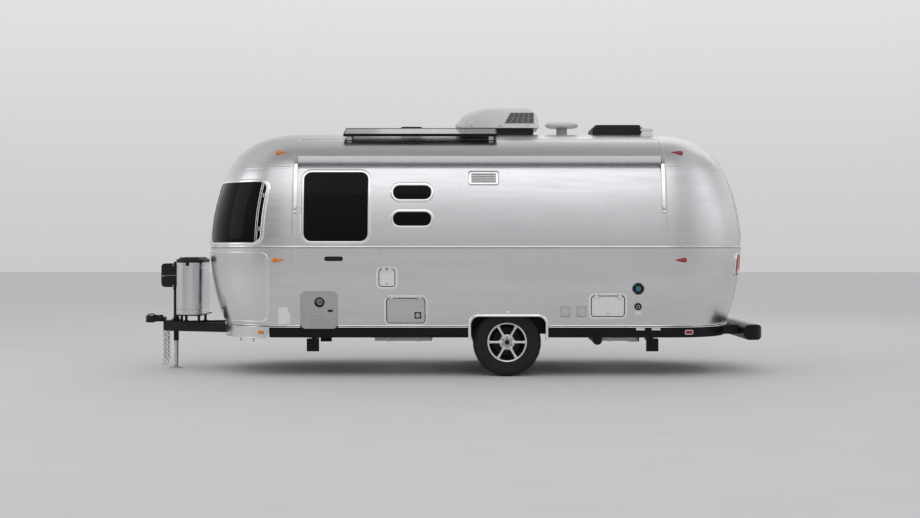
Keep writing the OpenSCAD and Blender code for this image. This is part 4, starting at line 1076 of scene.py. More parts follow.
# ---- wheel arch trims ----
class ArchSkin:
    def __init__(self, way):
        self.way = way

    def at(self, u, z, w=0.0):
        return Vector((u, self.way * (reach(SIDE, max(z, WALL_Z)) - w), z))


ARCH_PROF = [(0, -30), (0, 7), (1.5, 10.5), (5, 12), (12, 11.5), (20, 7.5), (26, 3), (28, 0.5), (28, -3), (20, -3),
             (6, -3), (3, -30)]
TRIM_FOOT = 372


def arch_path():
    x, _, w, _, r = ARCH
    top = ARCH[1] + ARCH[3]
    pts = [(x + w, TRIM_FOOT), (x + w, 430), (x + w, 490)]
    pts += [(x + w - r + r * cos(radians(a)), top - r + r * sin(radians(a))) for a in range(0, 91, 9)]
    pts += [(x + w / 2 + 180, top), (x + w / 2, top), (x + w / 2 - 180, top)]
    pts += [(x + r - r * sin(radians(a)), top - r + r * cos(radians(a))) for a in range(0, 91, 9)]
    return pts + [(x, 490), (x, 430), (x, TRIM_FOOT)]


for way, side in SIDES:
    kit, skin = Kit(), ArchSkin(way)
    pts = arch_path()
    path = []
    for i, (u, z) in enumerate(pts):
        (x0, z0), (x1, z1) = pts[max(i - 1, 0)], pts[min(i + 1, len(pts) - 1)]
        l = hypot(x1 - x0, z1 - z0)
        nx, nz = (z1 - z0) / l, -(x1 - x0) / l
        path.append(lambda d, h, u=u, z=z, nx=nx, nz=nz: skin.at(u + nx * d, max(z + nz * d, TRIM_FOOT), -h))
    kit.add(*ring_sweep(path, ARCH_PROF, False))
    piece("arch_trim_" + side, kit, "sill", slot="bright", smooth=40, node="wheel_arches")
    lamp = Kit()
    at = skin.at(ARCH[0] + ARCH[2] / 2, ARCH[1] + ARCH[3] + 44, 0)
    lathe(lamp, [(17, -1), (17, 4), (14, 9), (8, 11.5), (0.01, 12)], seat(at), 24)
    piece("arch_lamp_" + side, lamp, "white_plastic", smooth=50)

# ---- marker lamps: domed teardrops on a bright base ----
DROP_L, DROP_R, DROP_H = 140, 30, 23


def teardrop(kit, place, length, r, height, foot=0.0, n=22, m=12):
    """Half-round drop along local X, blunt end at +X."""
    v = []
    for i in range(n + 1):
        s = i / n
        x = -length / 2 + length * s
        head = length - r
        run = length * s
        if run < head:
            half = r * (run / head) ** 0.82
        else:
            half = sqrt(max(0.0, r * r - (run - head) ** 2))
        half = max(half, 0.25)
        hh = height * (half / r) ** 0.9
        for k in range(m + 1):
            a = pi * k / m
            v.append((x, half * cos(a), foot + hh * sin(a) ** 0.85))
    kit.add(v, quads(n + 1, m + 1) + caps(n + 1, m + 1, True), place)


def drop_place(end, x, z, way):
    q = on_side(cap_pt(end, z, f_at_x(z, x, 0.0, end)), way)
    n = skin_normal(q)
    t = Vector((end[1], 0, 0))
    t = (t - n * t.dot(n)).normalized()
    m = Matrix((t, n.cross(t), n)).transposed().to_4x4()
    m.translation = q
    return m


LAMP_X = 152
LAMP_ZS = (BELT - 143, turn_pt(44.4)[1])
for end, tone in ((FRONT, "amber"), (REAR, "red")):
    lens, base = Kit(), Kit()
    for z in LAMP_ZS:
        for way in (1, -1):
            m = drop_place(end, end[0] + end[1] * LAMP_X, z, way)
            teardrop(base, m, DROP_L + 8, DROP_R + 3, 6.0, -6.0)
            teardrop(lens, m @ Matrix.Translation((3, 0, 0)), DROP_L - 12, DROP_R - 3, DROP_H - 2, 0.0)
    piece(tone + "_marker_lenses", lens, tone, smooth=50, node=tone + "_lamps")
    piece(tone + "_marker_bases", base, "sill", smooth=50)
TAIL_LAMP = (0.623 * HALF_W - 70, BELT - 320, 140, 247, 68)
lens, bezel, clear = Kit(), Kit(), Kit()
for way in (1, -1):
    x, z, w, h, r = TAIL_LAMP
    p = (x if way > 0 else -x - w, z, w, h, r)
    skin_plate(lens, TAIL_SKIN, p, 19.0, -2.0, 9.0, 10, 8, -9)
    frame_ring(bezel, TAIL_SKIN, pane(p, -9, 12), [(0, -1), (0, 12), (2, 14), (6, 13), (9, 6), (9, -1)])
    c = (p[0] + 44, z + 26, w - 88, 52, 25)
    skin_plate(clear, TAIL_SKIN, c, 20.5, 15.0, 3.0, 4, 4)
piece("tail_lamp_lenses", lens, "lens_ribbed", slot="red", smooth=40, node="red_lamps")
piece("tail_lamp_bezels", bezel, "sill", smooth=40)
piece("tail_lamp_reversing", clear, "white_plastic", smooth=40)

# ---- reflectors, blank plates and labels ----
def upright(q, way, z):
    """Place on the upright band under an end, facing outward."""
    q = Vector((q.x, abs(q.y) * way, z))
    n = skin_normal(Vector((q.x, q.y, WALL_Z)))
    return look(q, (n.x, n.y, 0))


FRONT_REFL, REAR_REFL = (1895, 453), (-2502, 455)
PLATE_XS, PLATE_Z = (-2000, -2160), 488
LABELS = ((1586, 539, 124, 118), (1606, 660, 100, 54))
refl_a, refl_r, plates = Kit(), Kit(), Kit()
for way in (1, -1):
    pad(refl_a, upright(plan_pt(f_at_x(WALL_Z, FRONT_REFL[0]), 0, 0.0), way, FRONT_REFL[1]), 68, 34, 9, -1, 6)
    f = f_at_x(WALL_Z, REAR_REFL[0], SKIRT_IN, REAR)
    m = upright(cap_pt(REAR, WALL_Z, -f, SKIRT_IN), way, REAR_REFL[1])
    pad(refl_r, m, 80, 36, 12, -1, 6)
    pad(plates, m, 92, 48, 16, -1, 3)
piece("front_reflectors", refl_a, "amber", bevel=2)
piece("rear_reflectors", refl_r, "red", bevel=2)
for x in PLATE_XS:
    pad(plates, look((x, reach(SIDE, WALL_Z, SKIRT_IN), PLATE_Z), (0, 1, 0)), 90, 22, 3, -1, 2.5, 4)
piece("skirt_plates", plates, "sill", bevel=0.8)
label = Kit()
for x, z, w, h in LABELS:
    zs = [z + h * j / 6 for j in range(7)]
    grids = []
    for off in (1.6, 0.1):
        grids.append([[cap_pt(FRONT, q, f_at_x(q, x + w * k / 8), -off) for k in range(9)] for q in zs])
    plate = grid_shell(*grids)
    label.add(plate.v, plate.f)
piece("blank_label_plates", label, "white_plastic", smooth=40)
badge, badge_rim = Kit(), Kit()
BADGE = (1035, 1180, 205, 60, 29)
skin_plate(badge, LEFT, BADGE, 4.0, 0.1, 1.5, 2, 10, -6)
frame_ring(badge_rim, LEFT, pane(BADGE, -6, 12), [(0, 0.1), (0, 4.5), (1.5, 6), (4.5, 6), (6, 4.5), (6, 0.1)])
piece("blank_badge_plate", badge, "black_plastic", smooth=40)
piece("blank_badge_rim", badge_rim, "sill", smooth=40)

# ---- wheels: tyre with tread and ribbed sidewalls, six slim spokes ----
TYRE_HALF = [
    (203, 90), (204, 97), (210, 101), (219, 103.5), (221, 105.5), (224, 104), (238, 107.5), (262, 111), (286, 112.2),
    (300, 112), (302, 113.0), (305, 111.4), (318, 108), (320, 109), (323, 106.5), (333, 101), (341, 93.5), (346.5, 85),
]
TREAD_HALF = [(349, 78), (350, 66), (342, 65), (342, 57), (350.4, 56), (350.8, 26), (342, 25), (342, 17), (351, 16)]


def tyre(kit, m, n=144):
    half = TYRE_HALF + TREAD_HALF
    prof = [(r, -z) for r, z in half] + [(r, z) for r, z in reversed(half)]
    v = []
    for i in range(n):
        a = 2 * pi * i / n
        for r, z in prof:
            # cuts in the shoulder blocks, and shallower ones between them
            if i % 6 == 0 and 55 < abs(z) < 90 and r > 344:
                r -= 6
            if i % 6 == 3 and 20 < abs(z) < 58 and r > 348:
                r -= 3
            v.append((r * cos(a), r * sin(a), z))
    return kit.add(v, quads(n, len(prof), True, True, True), m)


RIM_PROFILE = [
    (203, -92), (203, -98), (200, -100), (194, -99), (190, -94), (182, -80), (177, -60), (176, 40), (179, 62),
    (182, 78), (184, 88), (187, 94), (193, 99), (199, 100), (202.5, 98), (203, 92), (196, 88), (191, 78), (189, 0),
    (191, -78), (196, -88),
]
BACKING = [(176, -92), (176, -86), (150, -66), (143, -58), (60, -56), (58, -50), (58, 30), (30, 34), (26, 58)]
SPOKE_ROWS = [(52, 22, 82, 58), (74, 16, 85, 60), (100, 13, 87, 62), (130, 12, 88, 64), (155, 12.5, 90, 64),
              (172, 14.5, 92, 62), (184, 19, 92, 60)]


def spoke(kit, m, a):
    v = []
    for r, hw, zt, zb in SPOKE_ROWS:
        half = [(hw - 6, zt), (hw - 2, zt - 2), (hw, zt - 7), (hw + 3, zb)]
        section = [(-y, z) for y, z in reversed(half)] + half
        v += [(r * cos(a) - y * sin(a), r * sin(a) + y * cos(a), z) for y, z in section]
    n = len(SPOKE_ROWS)
    kit.add(v, quads(n, 8) + [list(range(8))] + caps(n, 8)[1:], m)


def lug_nut(kit, m, a, r=62):
    hexagon(kit, [(13, 76), (13, 90), (10.5, 96)], m @ Matrix.Translation((r * cos(a), r * sin(a), 0)))


for way, side in ((1, "left"), (-1, "right")):
    body = "wheel_" + side
    m = look((WHEEL_X, way * WHEEL_Y, WHEEL_Z), (0, way, 0))
    piece("tyre_tread_" + side, tyre(Kit(), m), "tyre", body, smooth=28, node="tyre_" + side)
    kit = Kit()
    lathe(kit, RIM_PROFILE, m, 96, True)
    for i in range(6):
        spoke(kit, m, 2 * pi * i / 6)
    lathe(kit, [(26, 60), (80, 60), (82, 68), (78, 78), (66, 82), (50, 83), (46, 80)], m, 48)
    piece("alloy_rim_" + side, kit, "rim", body, node="rim_" + side)
    kit = Kit()
    lathe(kit, [(46, 74), (46, 84), (40, 88), (39, 95), (36, 98), (27, 98), (25, 95)], m, 40)
    for i in range(6):
        lug_nut(kit, m, 2 * pi * (i + 0.5) / 6)
    piece("hub_ring_and_nuts_" + side, kit, "zinc", body, "rim", smooth=35)
    kit = lathe(Kit(), [(26, 90), (26, 95), (16, 96.5), (0.01, 97)], m, 32)
    piece("hub_plug_" + side, kit, "black_plastic", body, smooth=40)
    piece("brake_backing_" + side, lathe(Kit(), BACKING, m, 64), "drum", body, smooth=35)
    stem = [m @ Vector((r * cos(0.5), r * sin(0.5), z)) for r, z in ((182, 70), (176, 80), (168, 92))]
    piece("valve_stem_" + side, tube(Kit(), stem, 4.0, 10), "black_plastic", body, smooth=50)

# ---- entry door ----
HINGE_X, HINGE_Y = DOOR_X + DOOR_W + GAP / 2, HALF_W + 10
HINGE_ZS = (760, 1050, 1700)


def curved_plate(skin, p, depth, nz, nx, flip=False):
    """Leaf of a door or hatch that follows the skin."""
    rows = rounded_rows(p[:5], nz, nx, 8)
    if flip:
        rows = [row[::-1] for row in rows]
    return grid_shell(*([[skin.at(u, z, w) for u, z in row] for row in rows] for w in (0, depth)))


shell_piece("door_skin", curved_plate(RIGHT, DOOR, WALL_T, 40, 10), "door_panel",
            [through_side(-1, pane(DOOR_WIN))], "entry_door")
kit = Kit()
for z in HINGE_ZS:
    lathe(kit, [(0.01, 1), (7.2, 1), (8, 1.8), (8, 30.2), (7.2, 31), (0.01, 31)],
          Matrix.Translation((HINGE_X, -HINGE_Y, z)), 24)
    y = reach(SIDE, z + 30)
    block(kit, HINGE_X - 44, HINGE_X - 2, -HINGE_Y - 7, -y + 1, z + 1, z + 31)
piece("door_knuckles", kit, "bright", "entry_door", bevel=1.2, node="door_panel")
kit = frame_ring(Kit(), RIGHT, pane(DOOR, -12, 14), [(-14, 0.3), (-14, 2.2), (-12, 3.2), (0, 3.2), (2, 2.2), (2, 0.3)])
piece("door_edge_band", kit, "sill", "entry_door")
kit = Kit()
for q in resample([Vector((u, z, 0)) for u, z in pane(DOOR, -17, 14)], 42, True):
    rivet(kit, RIGHT.at(q.x, q.y, -3.0), skin_normal(RIGHT.at(q.x, q.y)), 3.6, 1.8)
y, z = turn_pt(SHOULDER_TURN)
line = [Vector((DOOR_X + 30 + (DOOR_W - 60) * i / 20, -y, z)) for i in range(21)]
rivet_line(kit, line[1:-1], PITCH)
seam = Kit()
lap(line, 13, kit=seam)
piece("door_seam", seam, "shell", "entry_door", smooth=50)
piece("door_rivets", kit, "rivet", "entry_door", "bright", smooth=60)
window("win_door", RIGHT, DOOR_WIN, "door_window", "door_window_frame", "entry_door")
HANDLE = (DOOR_X + 40, 1120, 70, 150, 20)
kit, keys = Kit(), Kit()
skin_plate(kit, RIGHT, HANDLE, 8.0, 0.2, 3.0, 6, 4)
lever = [(HANDLE[0] + 21, HANDLE[1] + z, y) for z, y in ((26, 3), (34, 7), (60, 10), (96, 10), (118, 7), (126, 3))]
v = [Vector((x, -(HALF_W + y), z)) for x, z, y in lever]
tube(kit, v, 7.0, 14)
piece("door_latch", kit, "black_plastic", "entry_door", smooth=40, node="door_handle")
for z in (HANDLE[1] + 104, HANDLE[1] + 190):
    at = RIGHT.at(HANDLE[0] + 50, z, -8 if z < 1260 else 0)
    lathe(keys, [(13, -1), (13, 3), (11, 4.5), (6, 4.5), (5.5, 3.6), (0.01, 3.6)], seat(at), 28)
piece("door_locks", keys, "zinc", "entry_door", smooth=40)

# ---- hatches, heater cover, extractor vent, ports ----
FLANGE = [(0, -9), (0, 3.2), (2, 4.8), (6, 5.2), (17, 4.6), (21, 3.4), (23, 0.2), (12, 0.1), (2, -9)]


def key_lock(kit, at, r):
    m = seat(at)
    lathe(kit, [(r, -1), (r, 2.2), (r - 1.5, 3.4), (r * 0.55, 3.4), (r * 0.5, 2.4), (0.01, 2.4)], m, 26)
    block(kit, -1.1, 1.1, -5, 5, 2.2, 3.0, m)


def on_left(u, z, h=0.0):
    return LEFT.at(u, z, -h)


for p, name, node, tone, rim, slot in (
    (ACCESS, "access", "access_hatch", "lid_grey", "sill", "bright"),
    (SERVICE, "service", "service_hatch", "white_plastic", "white_plastic", "white_plastic"),
    (FILL, "fill", "fill_door", "white_plastic", "white_plastic", "white_plastic"),
):
    body = name + "_lid"
    piece(name + "_hatch_flange", frame_ring(Kit(), LEFT, pane(p, GAP, 12), FLANGE), rim, smooth=35)
    kit = curved_plate(LEFT, p, p[5], 8, 8, True)
    top = p[1] + p[3] + GAP / 2
    y = reach(SIDE, top) + 12
    for x in (p[0] + 30, p[0] + p[2] - 60):
        m = Matrix.Translation((x, y, top)) @ Matrix.Rotation(pi / 2, 4, "Y")
        lathe(kit, [(0.01, 0), (5.6, 0), (6, 0.5), (6, 29.5), (5.6, 30), (0.01, 30)], m, 20)
        block(kit, x, x + 30, reach(SIDE, top - 18) - 2, y + 5.5, top - 19, top - 2)
    piece(name + "_lid_panel", kit, tone, body, slot, node=node)
    kit = frame_ring(Kit(), LEFT, pane(p, -16, 12), [(-5, 0.2), (-4, 1.6), (-1, 1.6), (0, 0.2)])
    piece(name + "_lid_bead", kit, tone, body, slot, smooth=40)
kit, ring = Kit(), Kit()
q = on_left(ACCESS[0] + 70, ACCESS[1] + 76)
m = seat(q)
pad(kit, m, 68, 68, 8, -0.5, 5, 5)
piece("access_lock_plate", kit, "black_plastic", "access_lid", bevel=1.5)
lathe(ring, [(24, 4.5), (24, 7.5), (22, 9), (17, 9), (15.5, 7), (15, 5.4), (0.01, 5.4)], m, 40)
block(ring, -2.5, 2.5, -13, 13, 5.2, 10, m)
piece("access_lock_ring", ring, "zinc", "access_lid", smooth=40)
for p, body in ((SERVICE, "service_lid"), (FILL, "fill_lid")):
    kit = Kit()
    key_lock(kit, on_left(p[0] + p[2] * 0.5, p[1] + 26), 10)
    piece(body + "_lock", kit, "zinc", body, smooth=40)

FLUE = (HEATER[0] + 185, HEATER[1] + 272)
HEATER_H = 12
dark, coil = Kit(), Kit()
q = on_left(*FLUE, HEATER_H)
m = seat(q)
lathe(dark, [(48, -11), (52, -0.5), (52, 3), (49, 5), (43, 5), (40, 2), (39, -10)], m, 44, True)
lathe(dark, [(47, -11), (47, -10.2), (0.01, -10.2)], m, 40)
turns = [i / 90 for i in range(91)]
spiral = [m @ Vector(((6 + 30 * t) * cos(5 * pi * t), (6 + 30 * t) * sin(5 * pi * t), -4.5)) for t in turns]
tube(coil, spiral, 3.2, 8)
x, z = HEATER[0] + 48, HEATER[1] + 172
skin_plate(dark, LEFT, (x + 1, z + 1, 52, 22, 7), HEATER_H - 3, 0.3, 1.0, 2, 4)
piece("heater_flue", dark, "black_plastic", smooth=40)
piece("heater_flue_coil", coil, "zinc", smooth=60)
rim = Kit()
frame_ring(rim, LEFT, pane(HEATER, -16, 14),
           [(-5, HEATER_H - 0.2), (-4, HEATER_H + 1.8), (-1, HEATER_H + 1.8), (0, HEATER_H - 0.2)])
piece("heater_cover_bead", rim, "grey_plastic", smooth=40)
kit = Kit()
for u, z in ((14, 60), (14, 320), (370, 60), (370, 320), (120, 369), (264, 369)):
    q = on_left(HEATER[0] + u, HEATER[1] + z, HEATER_H)
    rivet(kit, q, skin_normal(q), 5.5, 2.4)
piece("heater_cover_screws", kit, "zinc", smooth=60)

kit, dark, light = Kit(), Kit(), Kit()
frame_ring(kit, LEFT, pane(VENT, 0, 10), [(-13, 18), (-13, 19.5), (-2, 19.5), (0, 18), (12, 2.5), (13, 0.2), (0, 0.2)])
piece("extractor_frame", kit, "sill", slot="bright", smooth=35)
for i in range(5):
    z = VENT[1] + 16 + 20 * i
    skin_plate(dark, LEFT, (VENT[0] + 21, z + 1, VENT[2] - 42, 10, 3), 10.0, 9.2, 0.3, 2, 10)
    slat = [LEFT.at(VENT[0] + 21 + (VENT[2] - 42) * k / 10, z + 11, -14.5) for k in range(11)]
    tube(light, slat, 3.4, 8, flat=0.5)
piece("extractor_shadow_plates", dark, "black_plastic")
piece("extractor_louvers", light, "grey_plastic", smooth=40)

PORT_X = along(0.0735)
dark, ring, teal, screws = Kit(), Kit(), Kit(), Kit()
for z, r in ((903, 60), (720, 37)):
    q = on_left(PORT_X, z, 14)
    m = seat(q)
    lathe(dark, [(r, -13), (r, -3), (r - 4, 1), (r - 12, 1), (r - 16, -3), (r - 16, -8)], m, 44, True)
    lathe(dark, [(r - 15, -8), (r - 16, -6.5), (0.01, -6)], m, 40)
    if r > 40:
        lathe(teal, [(26, -6.5), (26, -2.5), (22, -1), (10, -1), (8, -3), (0.01, -3)], m, 32)
        for k in range(4):
            a = pi / 4 + k * pi / 2
            head = m @ Vector(((r - 8) * cos(a), (r - 8) * sin(a), 0.8))
            rivet(screws, head, m.to_3x3() @ Vector((0, 0, 1)), 4.5, 2)
    else:
        lathe(ring, [(20, -7), (20, -1), (18, 1), (14, 1), (12, -1), (12, -7)], m, 32, True)
piece("inlet_bodies", dark, "black_plastic", smooth=40, node="service_ports")
piece("inlet_socket", teal, "teal_plastic", slot="black_plastic", smooth=40)
piece("inlet_screws", screws, "zinc", smooth=60)
piece("water_inlet_ring", ring, "zinc", smooth=40)
white = Kit()
skin_plate(white, LEFT, (PORT_X - 30, 640, 60, 34, 4), 2.0, 0.1, 1.0, 2, 4)
piece("blank_port_plate", white, "white_plastic")
lids, hood = Kit(), Kit()
for share in (0.2686, 0.2251):
    p = (mid_at(share, 97), 613, 97, 115, 12)
    skin_plate(hood, LEFT, p, 7.0, 0.1, 3.0, 6, 6)
    skin_plate(lids, LEFT, (p[0] + 10, p[1] + 12, 77, 84, 9), 13.0, 6.5, 3.0, 6, 6)
    y = LEFT.at(p[0], p[1] + 102).y + 9
    tube(lids, [(p[0] + 14, y, p[1] + 101), (p[0] + 83, y, p[1] + 101)], 4.5, 12)
piece("outlet_plates", hood, "grey_plastic", smooth=40, node="service_ports")
piece("outlet_lids", lids, "outlet_grey", slot="grey_plastic", smooth=40)

# ---- awnings: fabric roller, end brackets and the arms on the street side ----
ROLL_R, ROLL_GAP, ARM_W, ARM_D, ARM_FOOT, ARM_OFF = 40, 15, 36, 16, 1680, 20


def roller_at(turn):
    return turn_pt(turn, -ROLL_R - ROLL_GAP)


def x_lathe(kit, prof, y, z, n=40):
    """Turns (radius, x) points about a line along X."""
    k = len(prof)
    v = [(x, y + r * cos(2 * pi * i / n), z + r * sin(2 * pi * i / n)) for i in range(n) for r, x in prof]
    ends = [[i * k for i in range(n)], [i * k + k - 1 for i in range(n - 1, -1, -1)]]
    return kit.add(v, quads(n, k, True, False) + ends)


def x_prism(kit, pts, x0, x1):
    """Outline in (y, z) drawn along X."""
    kit.add(*prism(pts, lambda a, b, t: Vector((t, a, b)), x0, x1))


def bar_outline(a, b, d, r=3):
    """Rounded bar in a plane from a to b, of thickness d."""
    ax, ay = a
    dx, dy = b[0] - ax, b[1] - ay
    l = hypot(dx, dy)
    ux, uy = dx / l, dy / l
    return [(ax + ux * u - uy * w, ay + uy * u + ux * w) for u, w in outline(0, -d / 2, l, d, r, 4)]


for way, turn, name in ((1, 31, "street"), (-1, 62, "kerb")):
    y, z = roller_at(turn)
    kit = x_lathe(Kit(), [(36, REAR_X + 37), (39.5, REAR_X + 40), (39.5, FRONT_X - 40), (36, FRONT_X - 37)],
                  way * y, z, 44)
    piece("awning_roll_" + name, kit, "awning_cloth", slot="grey_plastic", smooth=40, node="awnings")
    edge, flap_and_shadow = Kit(), Kit()
    t = radians(turn)
    # black strip on the roller's underside: the fabric's edge, darkened with painted shadow under the roller
    pts = [(y + r * cos(t - d), z + r * sin(t - d)) for r, d in ((40, 1.45), (40, 1.62), (37, 1.62), (37, 1.45))]
    x_prism(flap_and_shadow, [(way * a, b) for a, b in pts], REAR_X + 42, FRONT_X - 42)
    piece("awning_flap_and_shadow_" + name, flap_and_shadow, "black_plastic")
    pts = [(y + r * cos(t + d), z + r * sin(t + d)) for r, d in ((40, -0.2), (40, 0.75), (37.5, 0.75), (37.5, -0.2))]
    x_prism(edge, [(way * a, b) for a, b in pts], REAR_X + 42, FRONT_X - 42)
    base = turn_pt(turn + 4), turn_pt(turn + 4, -13), turn_pt(turn + 5, -13), turn_pt(turn + 5)
    x_prism(edge, [(way * a, b) for a, b in base], REAR_X + 10, FRONT_X - 10)
    piece("awning_rail_" + name, edge, "sill")
    ends = Kit()
    for x0 in (REAR_X, FRONT_X - ARM_W):
        x_lathe(ends, [(30, x0 + 1), (42, x0 + 1), (44, x0 + 4), (44, x0 + 32), (42, x0 + 35), (30, x0 + 35)],
                way * y, z, 36)
        a, b = turn_pt(turn, 4), (y, z)
        x_prism(ends, [(way * u, w) for u, w in bar_outline(a, b, 40, 4)], x0 + 2, x0 + 34)
        x_lathe(ends, [(0.5, x0), (9, x0), (11, x0 + 2)], way * y, z, 20)
    piece("awning_brackets_" + name, ends, "grey_plastic", bevel=1.5, node="awnings")
    if way > 0:
        arms, hooks = Kit(), Kit()
        foot = (reach(SIDE, ARM_FOOT) + ARM_OFF, ARM_FOOT)
        for x0 in (REAR_X, FRONT_X - ARM_W):
            x_prism(arms, bar_outline(foot, (y, z), ARM_D, 3), x0 + 2, x0 + 34)
            x_prism(arms, bar_outline((foot[0] + 4, foot[1] + 40), (y + 2, z - 30), ARM_D + 3, 2), x0 + 10, x0 + 26)
            wall = reach(SIDE, ARM_FOOT + 40)
            x_prism(hooks, outline(wall - 3, ARM_FOOT, foot[0] - wall + 6, 70, 5, 4), x0 + 4, x0 + 32)
        piece("awning_arms", arms, "sill", slot="bright", bevel=1.0, node="awnings")
        piece("awning_arm_feet", hooks, "grey_plastic", bevel=1.5)

# ---- roof gear ----
AC_X0, AC_X1, AC_Y, AC_BASE, AC_H = along(0.3261), along(0.5659), 330, CROWN + 60, 216
AC_TOP = AC_BASE + AC_H
AC_SIDE = [(AC_X0, AC_BASE), (AC_X0 + 10, AC_TOP - 90), (AC_X0 + 90, AC_TOP), (AC_X1 - 330, AC_TOP),
           (AC_X1 - 110, AC_TOP - 60), (AC_X1, AC_BASE + 30), (AC_X1 - 20, AC_BASE)]


def round_poly(pts, radii, n=6):
    out = []
    k = len(pts)
    for i in range(k):
        p, a, b = Vector(pts[i]), Vector(pts[i - 1]), Vector(pts[(i + 1) % k])
        u, v = (a - p), (b - p)
        r = min(radii[i], u.length * 0.45, v.length * 0.45)
        if r < 1:
            out.append(tuple(p))
            continue
        s0, s1 = p + u.normalized() * r, p + v.normalized() * r
        for j in range(n + 1):
            t = j / n
            out.append(tuple((1 - t) ** 2 * s0 + 2 * t * (1 - t) * p + t * t * s1))
    return out


def shroud(kit, prof, half, edge, n=7):
    """Side profile drawn across, with its long edges rolled over."""
    cx = sum(q[0] for q in prof) / len(prof)
    zb = min(q[1] for q in prof)
    rows = []
    for way in (-1, 1):
        part = []
        for j in range(n + 1):
            a = pi / 2 * j / n
            inset, y = edge * (1 - sin(a)), half - edge * (1 - cos(a))
            row = []
            for x, z in prof:
                k = min(1.0, (z - zb) / 40)
                row.append(Vector((x + (cx - x) * inset / 330, way * y, z - inset * k * 0.9)))
            part.append(row)
        rows += part if way < 0 else part[::-1]
    n, k = len(rows), len(prof)
    return kit.add([q for row in rows for q in row], quads(n, k) + caps(n, k, True))


AC_ROUND = round_poly(AC_SIDE, [12, 70, 70, 160, 90, 40, 12])
piece("ac_shroud", shroud(Kit(), AC_ROUND, AC_Y - 13, 46), "white_plastic", smooth=35, node="air_conditioner")
GR = [(AC_X0 + 60, AC_BASE + 50), (AC_X0 + 370, AC_BASE + 50), (AC_X0 + 310, AC_BASE + 160),
      (AC_X0 + 60, AC_BASE + 160)]


def in_grille(s, t):
    a, b = Vector(GR[0]).lerp(Vector(GR[1]), s), Vector(GR[3]).lerp(Vector(GR[2]), s)
    return a.lerp(b, t)


dark, bars = Kit(), Kit()
for way in (1, -1):
    y = AC_Y - 13

    def cell(kit, s0, s1, t0, t1, h0, h1):
        q = [in_grille(*c) for c in ((s0, t0), (s1, t0), (s1, t1), (s0, t1))]
        v = [(c.x, way * (y + h), c.y) for h in (h0, h1) for c in q]
        kit.add(v, [(0, 1, 2, 3), (4, 7, 6, 5), (0, 4, 5, 1), (1, 5, 6, 2), (2, 6, 7, 3), (3, 7, 4, 0)])
    for i in range(5):
        for j in range(2):
            cell(dark, i / 5 + 0.012, (i + 1) / 5 - 0.012, j / 2 + 0.03, (j + 1) / 2 - 0.03, -2, 1.0)
            for k in range(1, 6):
                t = j / 2 + 0.03 + 0.44 * k / 6
                cell(bars, i / 5 + 0.012, (i + 1) / 5 - 0.012, t - 0.012, t + 0.012, -1, 3.0)
    for i in range(6):
        cell(bars, i / 5 - 0.012, i / 5 + 0.012, 0.0, 1.0, -2, 7.0)
    for t in (0.0, 0.5, 1.0):
        cell(bars, -0.012, 1.012, t - 0.03, t + 0.03, -2, 7.0)
piece("ac_grille_shadow", dark, "black_plastic")
piece("ac_grille_bars", bars, "grey_plastic", bevel=0.8)
kit = Kit()
for way in (1, -1):
    for x in (AC_X0 + 120, AC_X0 + 420, AC_X1 - 180):
        bolt(kit, (x, way * (AC_Y - 13), AC_BASE + 22), (0, way, 0), 8, 5)
piece("ac_shroud_screws", kit, "zinc")

SOL_X0, SOL_X1, SOL_W, SOL_TURN, SOL_OFF = along(0.4502), along(0.8743), 440, 77.5, 40
sol_at = turn_pt(SOL_TURN, -SOL_OFF)
SOL = Matrix.Translation((0, sol_at[0], sol_at[1])) @ Matrix.Rotation(radians(SOL_TURN - 90), 4, "X")
cells, rim, lines, feet = Kit(), Kit(), Kit(), Kit()
block(cells, SOL_X0 + 10, SOL_X1 - 10, -SOL_W / 2 + 10, SOL_W / 2 - 10, 14, 26.5, SOL)
SOL_Y, SOL_IN0, SOL_IN1, SOL_IN_Y = SOL_W / 2, SOL_X0 + 11, SOL_X1 - 11, SOL_W / 2 - 11
for box in (
    (SOL_X0, SOL_X1, -SOL_Y, -SOL_IN_Y), (SOL_X0, SOL_X1, SOL_IN_Y, SOL_Y),
    (SOL_X0, SOL_IN0, -SOL_IN_Y, SOL_IN_Y), (SOL_IN1, SOL_X1, -SOL_IN_Y, SOL_IN_Y),
):
    block(rim, *box, 0, 29.5, SOL)
nx, ny = 12, 3
for i in range(1, nx):
    x = SOL_IN0 + (SOL_X1 - SOL_X0 - 22) * i / nx
    block(lines, x - 1.6, x + 1.6, -SOL_IN_Y, SOL_IN_Y, 26, 26.9, SOL)
for j in range(1, ny):
    y = -SOL_IN_Y + 2 * SOL_IN_Y * j / ny
    block(lines, SOL_IN0, SOL_IN1, y - 1.6, y + 1.6, 26, 26.9, SOL)
for j in range(3 * ny):
    y = -SOL_IN_Y + 2 * SOL_IN_Y * (j + 0.5) / (3 * ny)
    block(lines, SOL_IN0, SOL_IN1, y - 0.5, y + 0.5, 26, 26.8, SOL)
for x in (SOL_X0 + 60, SOL_X1 - 60):
    for y in (-SOL_W / 2 + 60, SOL_W / 2 - 60):
        block(feet, x - 24, x + 24, y - 3, y + 24, -SOL_OFF - 2, 1, SOL)
        block(feet, x - 25, x + 25, y - 25, y + 25, -SOL_OFF - 3, -SOL_OFF + 4, SOL)
        for d in (-14, 14):
            q = SOL @ Vector((x + d, y - 14, -SOL_OFF + 4))
            bolt(feet, q, SOL.to_3x3() @ Vector((0, 0, 1)), 5, 4)
piece("solar_cells", cells, "solar", node="solar_panel")
piece("solar_rim", rim, "black_paint", bevel=1.0, node="solar_panel")
piece("solar_feet", feet, "zinc", node="solar_panel")
piece("solar_busbars", lines, "zinc")

VENTS = ((along(0.6531), 0.0759 * MID_L, 200, 85), (along(0.0274), 0.1454 * MID_L, 300, 96))
lid, ribs = Kit(), Kit()


